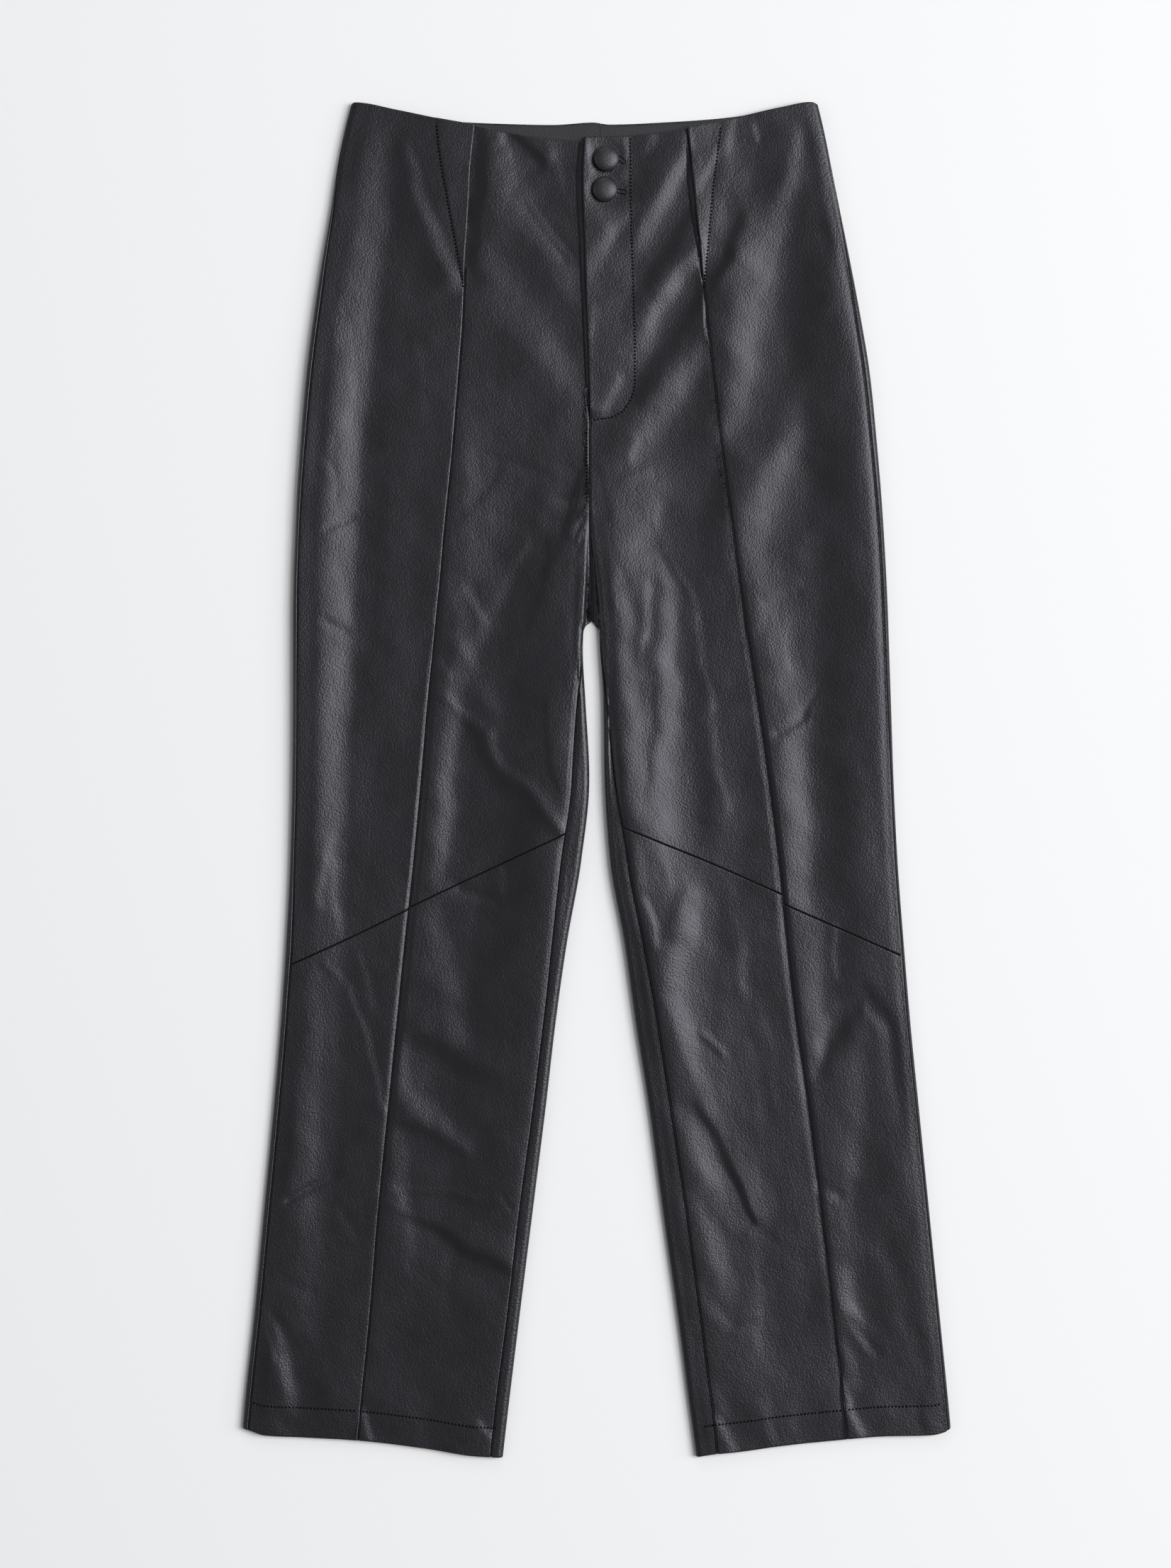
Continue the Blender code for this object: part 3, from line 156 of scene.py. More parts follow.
# Stations down each leg: outer and inner fold, the seam or tuck fold between side and centre front, and the
# distances round the cloth from each fold up to its seam
LEG_COLUMNS = ("y", "outer", "outseam", "front_seam", "inseam", "inner")
LEGS = {
    "right": (
        (505.0, -179.5, 1.0, -87.5, -1.4, -6.2),
        (480.0, -186.0, 1.0, -90.0, -1.4, -6.2),
        (450.0, -192.0, 2.2, -93.0, -1.4, -6.2),
        (420.0, -196.5, 3.8, -94.5, -1.4, -6.2),
        (380.0, -203.5, 5.4, -97.2, -1.4, -6.2),
        (340.0, -209.5, 6.3, -99.0, -1.4, -6.2),
        (300.0, -214.5, 6.3, -102.0, -1.4, -6.2),
        (240.0, -219.5, 5.8, -107.0, -1.4, -6.2),
        (210.0, -221.5, 5.5, -110.0, -1.4, -6.2),
        (180.0, -222.8, 5.3, -113.0, -1.4, -7.5),
        (150.0, -224.0, 5.5, -115.5, -1.4, -8.0),
        (120.0, -224.5, 5.8, -118.5, -1.4, -9.3),
        (95.0, -224.5, 5.5, -121.0, 1.8, -10.3),
        (60.0, -224.5, 5.3, -124.5, 8.0, -8.5),
        (0.0, -225.0, 5.3, -129.5, 15.0, -5.5),
        (-60.0, -226.5, 5.3, -135.0, 16.8, -11.5),
        (-120.0, -229.5, 6.6, -141.5, 13.0, -22.0),
        (-180.0, -233.5, 6.4, -147.5, 11.0, -30.5),
        (-240.0, -238.5, 6.3, -153.5, 11.3, -37.5),
        (-320.0, -246.0, 6.3, -161.5, 12.0, -47.5),
        (-400.0, -253.5, 6.3, -168.0, 11.3, -57.5),
        (-460.0, -260.0, 6.6, -174.0, 11.8, -64.8),
        (-505.0, -263.5, 6.3, -178.0, 11.3, -70.0),
    ),
    "left": (
        (505.0, 161.5, 1.0, 65.0, -1.4, -5.4),
        (480.0, 167.5, 1.4, 66.5, -1.4, -5.4),
        (450.0, 173.5, 2.9, 70.0, -1.4, -5.4),
        (420.0, 179.5, 4.2, 73.0, -1.4, -5.4),
        (380.0, 187.5, 5.8, 77.0, -1.4, -5.4),
        (340.0, 195.0, 7.3, 81.0, -1.4, -5.4),
        (300.0, 201.5, 7.8, 85.5, -1.4, -5.4),
        (240.0, 207.5, 7.6, 92.5, -1.4, -5.4),
        (210.0, 210.0, 7.2, 96.5, -1.4, -5.2),
        (180.0, 212.0, 6.8, 100.5, -1.4, -4.0),
        (150.0, 213.7, 6.8, 104.5, -1.4, -1.0),
        (120.0, 215.0, 6.7, 108.5, -1.4, 1.2),
        (95.0, 215.8, 6.5, 112.5, 0.8, 2.4),
        (60.0, 217.0, 6.3, 118.0, 4.0, 4.5),
        (0.0, 219.0, 5.4, 126.5, 9.8, 5.5),
        (-60.0, 222.0, 5.3, 134.0, 15.3, 9.5),
        (-120.0, 226.5, 5.3, 140.0, 16.2, 20.0),
        (-180.0, 231.5, 5.8, 147.0, 18.3, 28.5),
        (-240.0, 237.5, 5.8, 155.5, 18.0, 38.0),
        (-320.0, 245.5, 5.3, 165.5, 19.3, 48.7),
        (-400.0, 253.5, 5.3, 174.5, 18.8, 60.0),
        (-460.0, 259.5, 5.8, 181.5, 18.6, 67.8),
        (-505.0, 263.5, 5.8, 186.0, 17.3, 74.0),
    ),
}

# Edges and cross seams, as (x, y)
FRONT_WAIST = {
    "right": ((-186.0, 497.5), (-179.0, 500.0), (-147.5, 494.5), (-119.0, 488.5), (-89.5, 483.2),
              (-66.0, 478.0), (-39.0, 473.8), (-13.5, 471.5), (20.0, 471.5)),
    "left": ((-12.0, 474.5), (13.5, 475.0), (51.5, 478.5), (66.5, 481.5), (92.5, 486.5), (137.0, 496.5),
             (157.5, 500.0), (167.0, 497.5)),
}
BACK_WAIST = ((-186.0, 497.5), (-179.0, 499.0), (-150.0, 491.5), (-116.0, 487.2), (-74.5, 485.0),
              (-32.5, 484.0), (-3.0, 485.8), (9.5, 484.3), (51.5, 486.0), (93.0, 489.0), (130.0, 494.5),
              (157.5, 499.0), (167.0, 497.5))
KNEE_SEAM = {
    "side_right": ((-228.0, -137.5), (-182.0, -116.5), (-139.0, -95.5)),
    "centre_right": ((-137.0, -93.5), (-97.0, -74.5), (-58.5, -56.5), (-24.5, -40.5), (-14.0, -35.5)),
    "centre_left": ((16.0, -34.0), (81.5, -60.5), (136.0, -84.5)),
    "side_left": ((137.0, -91.5), (177.0, -109.0), (227.0, -131.0)),
}
HEM_EDGE = {
    "right": ((-264.0, -478.5), (-256.0, -480.5), (-245.5, -484.0), (-217.5, -485.5), (-177.0, -487.8),
              (-126.5, -493.8), (-89.5, -499.5), (-66.0, -500.8)),
    "left": ((70.0, -500.8), (84.5, -498.3), (106.5, -496.0), (135.0, -492.0), (184.0, -487.0),
             (210.0, -484.8), (246.5, -483.8), (256.0, -481.8), (264.0, -477.5)),
}

# Lines of the tucks, the fly and the centre back, as (y, x)
TUCK_STITCH = {
    "right": ((361.0, -98.0), (390.5, -103.5), (428.5, -110.5), (461.5, -116.0), (490.0, -119.2)),
    "left": ((361.0, 79.0), (390.5, 81.5), (422.5, 84.5), (459.5, 88.5), (490.0, 93.0)),
}
FLY_EDGE = ((255.0, -5.4), (266.0, -5.5), (309.0, -6.5), (363.5, -8.5), (400.0, -9.5), (445.0, -11.0),
            (476.0, -9.3))
FLY_STITCH = ((264.0, 2.0), (267.5, 10.0), (272.5, 19.5), (281.5, 25.5), (293.0, 28.0), (316.5, 28.0),
              (371.5, 26.5), (426.5, 25.0), (480.0, 24.5))
FLY_STITCH_TOP = 474.0
FLY_BEND_TOP = 283.0
CENTRE_BACK = ((CROTCH, -4.05), (300.0, -2.0), (486.0, 2.6))
CENTRE_BACK_STRIP = 12.0

# Bend of the fly's stitched line to the centre front, as (x, y)
FLY_BEND = ((25.5, 281.5), (19.5, 272.5), (10.0, 267.5), (-4.5, 265.5))
FLY_BEND_START = 25.0
FLY_BEND_END = -4.5

# Width of the dark slots beside the fly lap and the open part of the left tuck, as (y, width)
FLY_SLOT = ((255.0, 0.3), (268.0, 0.8), (290.0, 2.6), (363.0, 3.6), (440.0, 4.8), (476.0, 3.4))
TUCK_SLOT_WIDTH = ((361.0, 0.3), (384.0, 1.6), (412.0, 3.6), (440.0, 4.6), (468.0, 2.0), (490.0, 0.6))

# Height of the top layer where it lies flat, as (y, height)
LYING_HEIGHT = ((-505.0, 6.2), (-472.0, 6.2), (-430.0, 5.4), (-300.0, 5.0), (-100.0, 4.6), (150.0, 4.5),
                (380.0, 4.8), (450.0, 5.5), (505.0, 5.8))

# Height of the rolled folds, as (y, height)
OUTER_FOLD = {
    "right": ((-505.0, 6.6), (-300.0, 6.4), (-120.0, 6.8), (0.0, 8.3), (100.0, 8.8), (300.0, 8.8),
              (360.0, 8.3), (440.0, 7.3), (505.0, 6.5)),
    "left": ((-505.0, 6.6), (-60.0, 6.6), (60.0, 7.4), (505.0, 7.6)),
}
INNER_FOLD = ((-505.0, 6.6), (-300.0, 6.8), (-60.0, 8.0), (505.0, 8.0))

# Crest of the outer fold above its rolled edge, as (y, height), how far inside the edge it lies, and how
# wide the slope from it down to the panel is, as (y, width)
OUTER_CREST = {
    "right": ((-505.0, 0.0), (-150.0, 0.0), (-60.0, -0.1), (0.0, -0.2), (100.0, -0.4), (300.0, -0.4),
              (380.0, -0.2), (505.0, 0.0)),
    "left": ((-505.0, 0.2), (-150.0, 0.3), (0.0, 0.5), (250.0, 0.6), (380.0, 0.5), (505.0, 0.3)),
}
CREST_PLACE = {"right": 16.0, "left": 9.5}
OUTER_SLOPE = {
    "right": ((-505.0, 38.0), (-200.0, 36.0), (-60.0, 28.0), (0.0, 28.0), (100.0, 32.0), (250.0, 33.0),
              (340.0, 34.0), (400.0, 34.0), (450.0, 30.0), (505.0, 26.0)),
    "left": ((-505.0, 60.0), (-60.0, 70.0), (60.0, 48.0), (250.0, 48.0), (380.0, 56.0), (505.0, 60.0)),
}

# Crest of the inner fold above its rolled edge, highest near the crotch, as (y, height), and how far it
# lies from the inseam, as (y, distance)
INNER_CREST = ((-505.0, 0.1), (-300.0, 0.2), (-120.0, 0.5), (0.0, 0.8), (40.0, 0.4), (80.0, -0.1),
               (117.0, -0.4), (212.0, -0.4))
INSEAM_CREST = ((-505.0, 5.0), (-60.0, 6.0), (0.0, 9.0), (50.0, 8.0), (100.0, 6.5), (212.0, 6.5))

# Section of the cloth across a front seam, as (distance to its +X side, height): a trough between two
# crests, and how much of it there is down each leg, as (y, share)
SEAM_SECTION = {
    "right": ((-90.0, 0.0), (-60.0, 0.0), (-34.0, -0.25), (-3.2, 0.1), (0.0, -0.7), (5.5, 0.45),
              (34.0, -0.3), (60.0, 0.0), (90.0, 0.0)),
    "left": ((-90.0, 0.0), (-60.0, 0.0), (-34.0, -0.2), (-5.0, 0.15), (0.0, -0.5), (5.0, 0.5),
             (34.0, -0.35), (60.0, 0.0), (90.0, 0.0)),
}
SEAM_SHARE = {
    "right": ((-505.0, 0.05), (-400.0, 0.15), (-300.0, 0.3), (-230.0, 0.6), (-120.0, 0.95),
              (-20.0, 0.85), (50.0, 0.5), (120.0, 0.25), (250.0, 0.12), (345.0, 0.1), (375.0, 0.0),
              (505.0, 0.0)),
    "left": ((-505.0, 0.1), (-400.0, 0.3), (-300.0, 0.55), (-200.0, 0.8), (-60.0, 0.85), (30.0, 0.7),
             (120.0, 0.4), (250.0, 0.15), (345.0, 0.1), (375.0, 0.0), (505.0, 0.0)),
}
INSEAM_TROUGH = ((-505.0, 0.08), (-300.0, 0.14), (-150.0, 0.3), (0.0, 0.55), (60.0, 0.6), (117.0, 0.5))

# The relief of the top layer sinks at most this far, as (y, depth), so that it stays clear of the layers
# under it
DEEPEST = ((-505.0, 1.8), (400.0, 1.8), (440.0, 1.3), (505.0, 1.3))

# Low unevenness of cloth that has been worn and laid down, as (wavelength, direction in degrees, phase,
# height)
UNEVEN = ((74.0, 78.0, 0.4, 0.10), (53.0, 112.0, 2.1, 0.07), (41.0, 64.0, 4.0, 0.05),
          (96.0, 20.0, 1.2, 0.08), (33.0, 96.0, 5.1, 0.035), (61.0, 150.0, 0.9, 0.05),
          (23.0, 131.0, 3.3, 0.02), (27.0, 52.0, 1.7, 0.022))
FINE_UNEVEN = ((15.0, 38.0, 0.7, 0.014), (12.5, 97.0, 2.9, 0.012), (10.5, 154.0, 4.6, 0.010),
               (8.3, 71.0, 1.1, 0.008))

# How far those waves bend, and over what length they do so, as (bend, length) up and across the cloth
BEND_UP = (9.0, 67.0)
BEND_ACROSS = (7.0, 49.0)

# How far a wave fades out beyond its width, how far a fold runs on past its ends in half widths, and how
# softly its stretches join
WAVE_TAIL = 18.0
FOLD_END = 1.4
CORNER_BLEND = 2.0

# How far the lines of the folds wander, over long and over short stretches
WANDER = 1.6
FINE_WANDER = 0.8

# Folds of the top layer, each with a shape and the points of its line. A ridge is a low rounded rise along
# its line, or a trough where its height is negative; a wave rises on the left of its line and sinks on the
# right, and fades out slowly on both sides. Each point is x, y, half width and height. These are the
# largest, as in the solids.
TOP_FOLDS = (
    # hip and thigh of the right leg
    ("ridge", ((-162, 330, 12, -0.5), (-170, 250, 12, -0.9), (-172, 150, 12, -0.9),
               (-178, 60, 11, -0.5))),
    ("wave", ((-174, 474, 6, 0.1), (-174, 440, 8, 0.15), (-173, 396, 9, 0.15))),
    ("wave", ((-139, 463, 5, 0.4), (-131, 438, 6, 0.6), (-119, 402, 7.5, 0.8),
              (-106, 368, 7, 0.8))),
    ("wave", ((-80, 482, 9, 0.1), (-66, 452, 13, 0.35), (-50, 420, 14, 0.8),
              (-33, 390, 12, 0.75), (-18, 360, 8, 0.4))),
    ("wave", ((-88, 400, 10, 0.3), (-68, 360, 16, 0.85), (-42, 326, 16, 0.9),
              (-12, 284, 10, 0.5))),
    ("wave", ((-85, 484, 5, -0.3), (-87, 440, 6, -0.8), (-89, 404, 5.5, -0.7),
              (-93, 380, 4, -0.3))),
    ("wave", ((-84, 240, 18, 0.4), (-86, 180, 22, 0.65), (-92, 120, 16, 0.45))),
    ("wave", ((-50, 172, 4, 0.2), (-72, 138, 6, 0.3), (-86, 106, 7, 0.45),
              (-100, 80, 9, 0.7), (-107, 58, 8, 0.5))),
    ("ridge", ((-112, 57, 4, 0.3), (-98, 46, 5, 0.6), (-84, 34, 6, 0.95),
               (-73, 12, 6, 0.95), (-52, -9, 6, 0.85), (-28, -38, 4.5, 0.7))),
    ("wave", ((-106, 46, 7, 0.4), (-109, 10, 9, 0.75), (-113, -36, 9, 0.75),
              (-116, -72, 7, 0.35))),
    # below the knee of the right leg
    ("wave", ((-121, -104, 9, 0.3), (-112, -132, 10, 0.5), (-99, -156, 7, 0.35))),
    ("wave", ((-108, -152, 10, 0.3), (-104, -186, 11, 0.4))),
    ("wave", ((-191, -144, 3, 0.12), (-180, -156, 3.5, 0.25), (-170, -190, 3.5, 0.22),
              (-160, -226, 3.5, 0.25), (-156, -240, 3.5, 0.3))),
    ("wave", ((-134, -192, 8, -0.5), (-112, -206, 10, -1), (-84, -218, 8, -0.6))),
    ("wave", ((-144, -202, 6, 0.3), (-141, -228, 7, 0.5), (-126, -252, 6, 0.4))),
    ("wave", ((-128, -238, 6, 0.3), (-112, -254, 8, 0.5), (-98, -270, 6, 0.3))),
    ("wave", ((-143, -253, 5, -0.3), (-102, -276, 5, -0.3))),
    ("wave", ((-147, -262, 7, 0.25), (-143, -300, 8, 0.4), (-138, -326, 8, 0.3))),
    ("wave", ((-130, -325, 4, -0.3), (-100, -346, 6, -0.9), (-68, -361, 5, -0.6))),
    ("wave", ((-212, -218, 10, 0.3), (-213, -258, 12, 0.55), (-213, -292, 11, 0.35),
              (-212, -356, 12, 0.2))),
    ("wave", ((-235, -404, 4.5, 0.4), (-231, -430, 7, 0.95), (-225, -458, 6.5, 0.7))),
    # fly and hip of the left leg
    ("wave", ((66, 474, 5, 0.4), (60, 448, 8, 1.15), (47, 418, 9, 1.3), (34, 396, 7, 0.7))),
    ("wave", ((76, 394, 5, 0.5), (62, 374, 7.5, 1.1), (48, 346, 9, 1.1), (33, 310, 8, 0.4))),
    ("wave", ((72, 310, 10, 0.5), (56, 284, 15, 1.3), (41, 256, 12, 1), (30, 236, 7, 0.3))),
    ("wave", ((148, 478, 5, 0.25), (144, 448, 8, 0.8), (134, 404, 14, 1.4),
              (122, 364, 18, 1.8), (113, 322, 17, 1.7), (105, 290, 13, 1.1),
              (102, 258, 10, 0.6))),
    ("wave", ((146, 248, 9, 0.6), (132, 222, 16, 1.7), (120, 196, 15, 1.4),
              (117, 164, 11, 0.7), (118, 148, 8, 0.4))),
    ("wave", ((32, 262, 16, 0.4), (35, 216, 27, 1.7), (31, 176, 25, 1.8), (30, 144, 14, 0.8))),
    ("wave", ((51, 160, 5, 0.4), (53, 128, 8.5, 1), (54, 70, 9, 0.95),
              (52, 10, 11, 1.1), (49, -34, 12, 0.9))),
    ("wave", ((15, 146, 6, 0.35), (22, 110, 7.5, 0.7), (27, 50, 8.5, 0.85), (30, -20, 9.5, 0.8))),
    ("wave", ((132, 146, 12, 0.4), (136, 112, 16, 0.8), (142, 74, 13, 0.8), (146, 56, 8, 0.4))),
    ("wave", ((146, 36, 11, 0.9), (149, 0, 14, 1.3), (151, -44, 15, 1.25), (151, -76, 12, 0.8))),
    # below the knee of the left leg
    ("wave", ((71, -84, 8, 0.4), (67, -112, 10, 0.8), (59, -144, 11, 0.95),
              (62, -178, 11, 0.9), (73, -208, 8, 0.6), (86, -240, 6, 0.3))),
    ("wave", ((64, -246, 8, 0.35), (78, -272, 11, 0.7), (94, -302, 8, 0.35))),
    ("wave", ((74, -238, 3.5, -0.15), (84, -260, 4, -0.55), (99, -291, 3.8, -0.85),
              (118, -326, 2.2, -0.6))),
    ("wave", ((77, -312, 7, 0.4), (85, -342, 9, 0.65), (96, -372, 8, 0.35))),
    ("ridge", ((164, -214, 6, -0.5), (176, -180, 7, -1.2), (198, -158, 8, -1),
               (214, -180, 8, -1.1), (228, -240, 9, -0.6))),
    ("wave", ((157, -92, 10, 0.45), (161, -140, 10, 0.5), (163, -196, 7, 0.4))),
    ("wave", ((192, -178, 9, 0.4), (194, -215, 11, 0.7), (192, -254, 10, 0.5),
              (189, -284, 10, 0.6), (188, -300, 7, 0.3))),
    ("wave", ((183, -368, 7, 0.5), (189, -390, 9, 0.9), (197, -412, 6, 0.4))),
)

# Smaller folds and creases that only the fine cloth has, as (x and y of the start, x and y of the end, half
# width, height, shape, kind of panel that has it)
SMALL_FOLDS = (
    # upper right leg
    (-180, 455, -170, 453.5, 1.5, 0.12, "ridge", "side"),
    (-189, 346, -190, 322, 6, 0.25, "wave", "side"),
    (-178, 330, -180, 262, 4, -0.16, "ridge", "side"),
    (-198, 184, -182, 192, 2.6, -0.5, "ridge", "side"),
    (-201, 116, -187, 108, 3, -0.5, "ridge", "side"),
    (-197, 236, -193, 226, 2.5, -0.25, "ridge", "side"),
    (-192, 250, -194, 206, 2.5, -0.2, "ridge", "side"),
    (-190, 150, -187, 122, 6, 0.2, "wave", "side"),
    (-170, 168, -171, 96, 6, 0.1, "wave", "side"),
    (-132, 318, -126, 268, 5, 0.15, "wave", "side"),
    (-70, 474, -66, 464, 3.5, 0.3, "wave", "centre"),
    (-61, 476, -43, 455, 4, -0.8, "wave", "centre"),
    (-54, 424, -26, 384, 3, -0.2, "ridge", "centre"),
    (-46, 424, -18, 386, 3, -0.2, "ridge", "centre"),
    (-34, 462, -24, 440, 5, 0.2, "wave", "centre"),
    (-104, 188, -70, 230, 4, -0.16, "wave", "centre"),
    (-92, 236, -94, 206, 8, 0.25, "wave", "centre"),
    (-72, 238, -36, 222, 4, -0.3, "ridge", "centre"),
    (-74, 196, -46, 187, 3, -0.2, "ridge", "centre"),
    (-96, 140, -86, 122, 4.5, 0.3, "wave", "centre"),
    (-104, 136, -100, 104, 7, 0.25, "wave", "centre"),
    (-34, 172, -50, 112, 3, -0.16, "wave", "centre"),
    (-117, 88, -108, 76, 3, 0.2, "wave", "centre"),
    (-94, 98, -76, 56, 7, 0.25, "wave", "centre"),
    (-40, 56, -36, 24, 2, -0.12, "wave", "centre"),
    (-36, 24, -30, -6, 2.4, -0.2, "wave", "centre"),
    (-13, 226, -18, 204, 3, -0.5, "wave", "centre"),
    (-18, 204, -21, 184, 2.6, -0.45, "wave", "centre"),
    (-21, 184, -38, 150, 3.5, -0.2, "wave", "centre"),
    (-15, 190, -9, 201, 2, 0.3, "ridge", "centre"),
    (-12, 178, -8.5, 187, 1.6, 0.35, "ridge", "centre"),
    (-14, 164, -8, 173, 2, 0.25, "ridge", "centre"),
    # lower right leg
    (-196, -44, -204, -92, 4, 0.22, "wave", "side"),
    (-193, -62, -191, -112, 3.5, 0.18, "wave", "side"),
    (-201, -138, -193, -145, 3, 0.25, "ridge", "side"),
    (-175, -130, -164, -164, 3.5, 0.16, "wave", "side"),
    (-208, -150, -210, -200, 9, 0.25, "wave", "side"),
    (-226, -309, -196, -294, 3, -1, "ridge", "side"),
    (-196, -294, -190, -292, 2, -0.2, "ridge", "side"),
    (-186, -322, -178, -334, 4, -0.2, "ridge", "side"),
    (-248, -384, -232, -398, 4, -0.3, "ridge", "side"),
    (-228, -368, -212, -378, 5, -0.25, "ridge", "side"),
    (-244.5, -403, -239, -424, 2.6, 0.28, "wave", "side"),
    (-210, -396, -196, -436, 7, -0.16, "ridge", "side"),
    (-98, -80, -72, -89, 5, -0.55, "ridge", "centre"),
    (-69, -68, -66, -92, 4, 0.22, "wave", "centre"),
    (-154, -301.5, -64, -310.5, 2.2, 0.25, "ridge", "centre"),
    (-149, -300, -141, -308, 4, 0.3, "wave", "centre"),
    (-150, -313, -128, -326, 3.5, 0.25, "ridge", "centre"),
    (-68, -308, -62, -316, 1.8, -0.3, "ridge", "centre"),
    (-140, -336, -137, -382, 6, 0.14, "wave", "centre"),
    (-114, -356, -111, -390, 5, 0.12, "wave", "centre"),
    (-172, -466, -165, -484, 3.5, 0.4, "wave", "centre"),
    (-84, -474, -77, -482, 3.5, 0.35, "wave", "centre"),
    (-134, -466, -126, -490, 5, 0.12, "wave", "centre"),
    (-236, -464, -228, -482, 5, 0.15, "wave", "side"),
    # upper left leg
    (42, 474, 37, 464, 4, 0.3, "wave", "centre"),
    (73, 424, 36, 366, 6, -0.5, "wave", "centre"),
    (76, 358, 32, 284, 7, -0.6, "wave", "centre"),
    (27, 417, 12, 404, 5, 0.25, "wave", "centre"),
    (10, 404, -5, 380, 7, 0.5, "wave", "centre"),
    (-7, 470, -5, 452, 2.6, 0.3, "wave", "centre"),
    (-9, 441, 2, 446, 2, 0.25, "ridge", "centre"),
    (21, 476, 21.5, 458, 2.2, 0.2, "wave", "centre"),
    (14, 294, 6, 274, 4.5, 0.35, "wave", "centre"),
    (-1, 346, -3, 330, 3.5, 0.14, "wave", "centre"),
    (19, 352, 15, 330, 4, 0.12, "wave", "centre"),
    (86, 460, 78, 440, 4.5, 0.35, "wave", "side"),
    (101, 490, 96, 464, 4, 0.25, "wave", "side"),
    (97, 470, 92, 412, 6, 0.2, "wave", "side"),
    (106, 410, 97, 388, 5, -0.5, "wave", "side"),
    (97, 388, 86, 368, 3.5, -0.5, "wave", "side"),
    (116, 482, 118, 472, 2.4, 0.25, "wave", "side"),
    (158, 470, 168, 402, 9, -0.4, "ridge", "side"),
    (168, 452, 172, 424, 6, 0.2, "wave", "side"),
    (138, 400, 120, 352, 2.6, -0.12, "ridge", "side"),
    # crotch and middle of the left leg
    (32, 247, 28, 238, 3, 0.25, "wave", "centre"),
    (36, 228, 20, 220, 4, 0.25, "ridge", "centre"),
    (46, 200, 44, 182, 3.5, 0.25, "wave", "centre"),
    (1, 232, 8, 194, 2.4, -0.1, "wave", "centre"),
    (8, 194, 24, 144, 2.2, -0.08, "wave", "centre"),
    (41, 186, 52, 164, 2, -0.16, "wave", "centre"),
    (52, 164, 74, 118, 2, -0.18, "wave", "centre"),
    (61, 152, 74, 120, 4, 0.3, "wave", "centre"),
    (75, 122, 84, 54, 3.5, 0.22, "wave", "centre"),
    (84, 54, 96, -24, 3.5, 0.2, "wave", "centre"),
    (37, 140, 36, 104, 4, 0.4, "wave", "centre"),
    (36, 104, 34, 76, 3.6, 0.2, "wave", "centre"),
    (40, 66, 38, -4, 3, -0.2, "ridge", "centre"),
    (126, 133, 146, 142, 3, 0.22, "wave", "side"),
    (119, 132, 120, 112, 4, 0.2, "wave", "side"),
    (139, 120, 143, 84, 3, 0.1, "wave", "side"),
    (133, 36, 150, 48, 2.6, -0.7, "ridge", "side"),
    (150, 48, 161, 65, 2.2, -0.4, "ridge", "side"),
    (144, 38, 154, 42, 2.2, 0.25, "ridge", "side"),
    # below the left knee seam
    (30, -50, 35, -74, 5, 0.25, "wave", "centre"),
    (50, -52, 56, -74, 5, 0.2, "wave", "centre"),
    (38, -92, 43, -120, 3.5, 0.4, "wave", "centre"),
    (62, -82, 50, -106, 5, -0.3, "wave", "centre"),
    (75, -186, 92, -203, 2.4, 0.4, "ridge", "centre"),
    (107, -130, 111, -154, 5, 0.25, "wave", "centre"),
    (100, -84, 104, -112, 6, 0.16, "wave", "centre"),
    (110, -196, 122, -246, 4, 0.12, "wave", "centre"),
    (124, -180, 134, -236, 4, 0.1, "wave", "centre"),
    (68, -312, 96, -306, 2.4, -0.16, "ridge", "centre"),
    (122, -330, 137, -341, 3, -0.06, "wave", "centre"),
    (78, -376, 94, -398, 6, 0.3, "wave", "centre"),
    (84, -415, 102, -405, 3, -0.25, "ridge", "centre"),
    (102, -405, 124, -401, 3, -0.16, "ridge", "centre"),
    (122, -388, 124, -398, 3, 0.16, "wave", "centre"),
    (116, -336, 120, -420, 4, 0.1, "wave", "centre"),
    (88, -452, 98, -466, 5, 0.2, "wave", "centre"),
    (92, -474, 102, -494, 5, 0.5, "wave", "centre"),
    (125, -462, 131, -486, 5, 0.25, "wave", "centre"),
    (146, -466, 152, -488, 5, 0.14, "wave", "centre"),
    (174, -108, 178, -146, 3, 0.22, "wave", "side"),
    (208, -150, 220, -184, 6, 0.15, "wave", "side"),
    (166, -299, 180, -308, 4, -0.4, "ridge", "side"),
    (180, -308, 190, -300, 3, -0.25, "ridge", "side"),
    (184, -312, 186, -340, 9, 0.25, "wave", "side"),
    (190, -404, 206, -422, 4, -0.35, "ridge", "side"),
    (184, -420, 190, -446, 6, 0.3, "wave", "side"),
    (214, -345, 240, -425, 9, -0.5, "ridge", "side"),
    (182, -446, 188, -458, 3, 0.3, "wave", "side"),
    (187, -464, 196, -482, 4.5, 0.5, "wave", "side"),
    (236, -462, 240, -480, 4, -0.2, "ridge", "side"),
    (250, -468, 256, -484, 5, 0.2, "wave", "side"),
)

# Grid of the fine cloth: its spacing, and the distances of the closer lines beside a seam or a stitched line
FRONT_STEP = 2.2
BACK_STEP = 3.6
BACK_LENGTH = 960.0
CLOSE_LINES = (0.0, 0.4, 0.8, 1.2, 1.6, 2.2)
VALLEY_LINES = CLOSE_LINES + (2.8, 3.4, 4.0, 4.8)

# The ends of its columns are found in rounds, from a first guess above or below the middle
FIRST_GUESS = 480.0
EDGE_ROUNDS = 8

# Distances over which normals are measured, in millimetres up and across, and in places round a back
NORMAL_STEP = 0.4
PLACE_STEP = 0.02
SHARP_ANGLE = 55.0

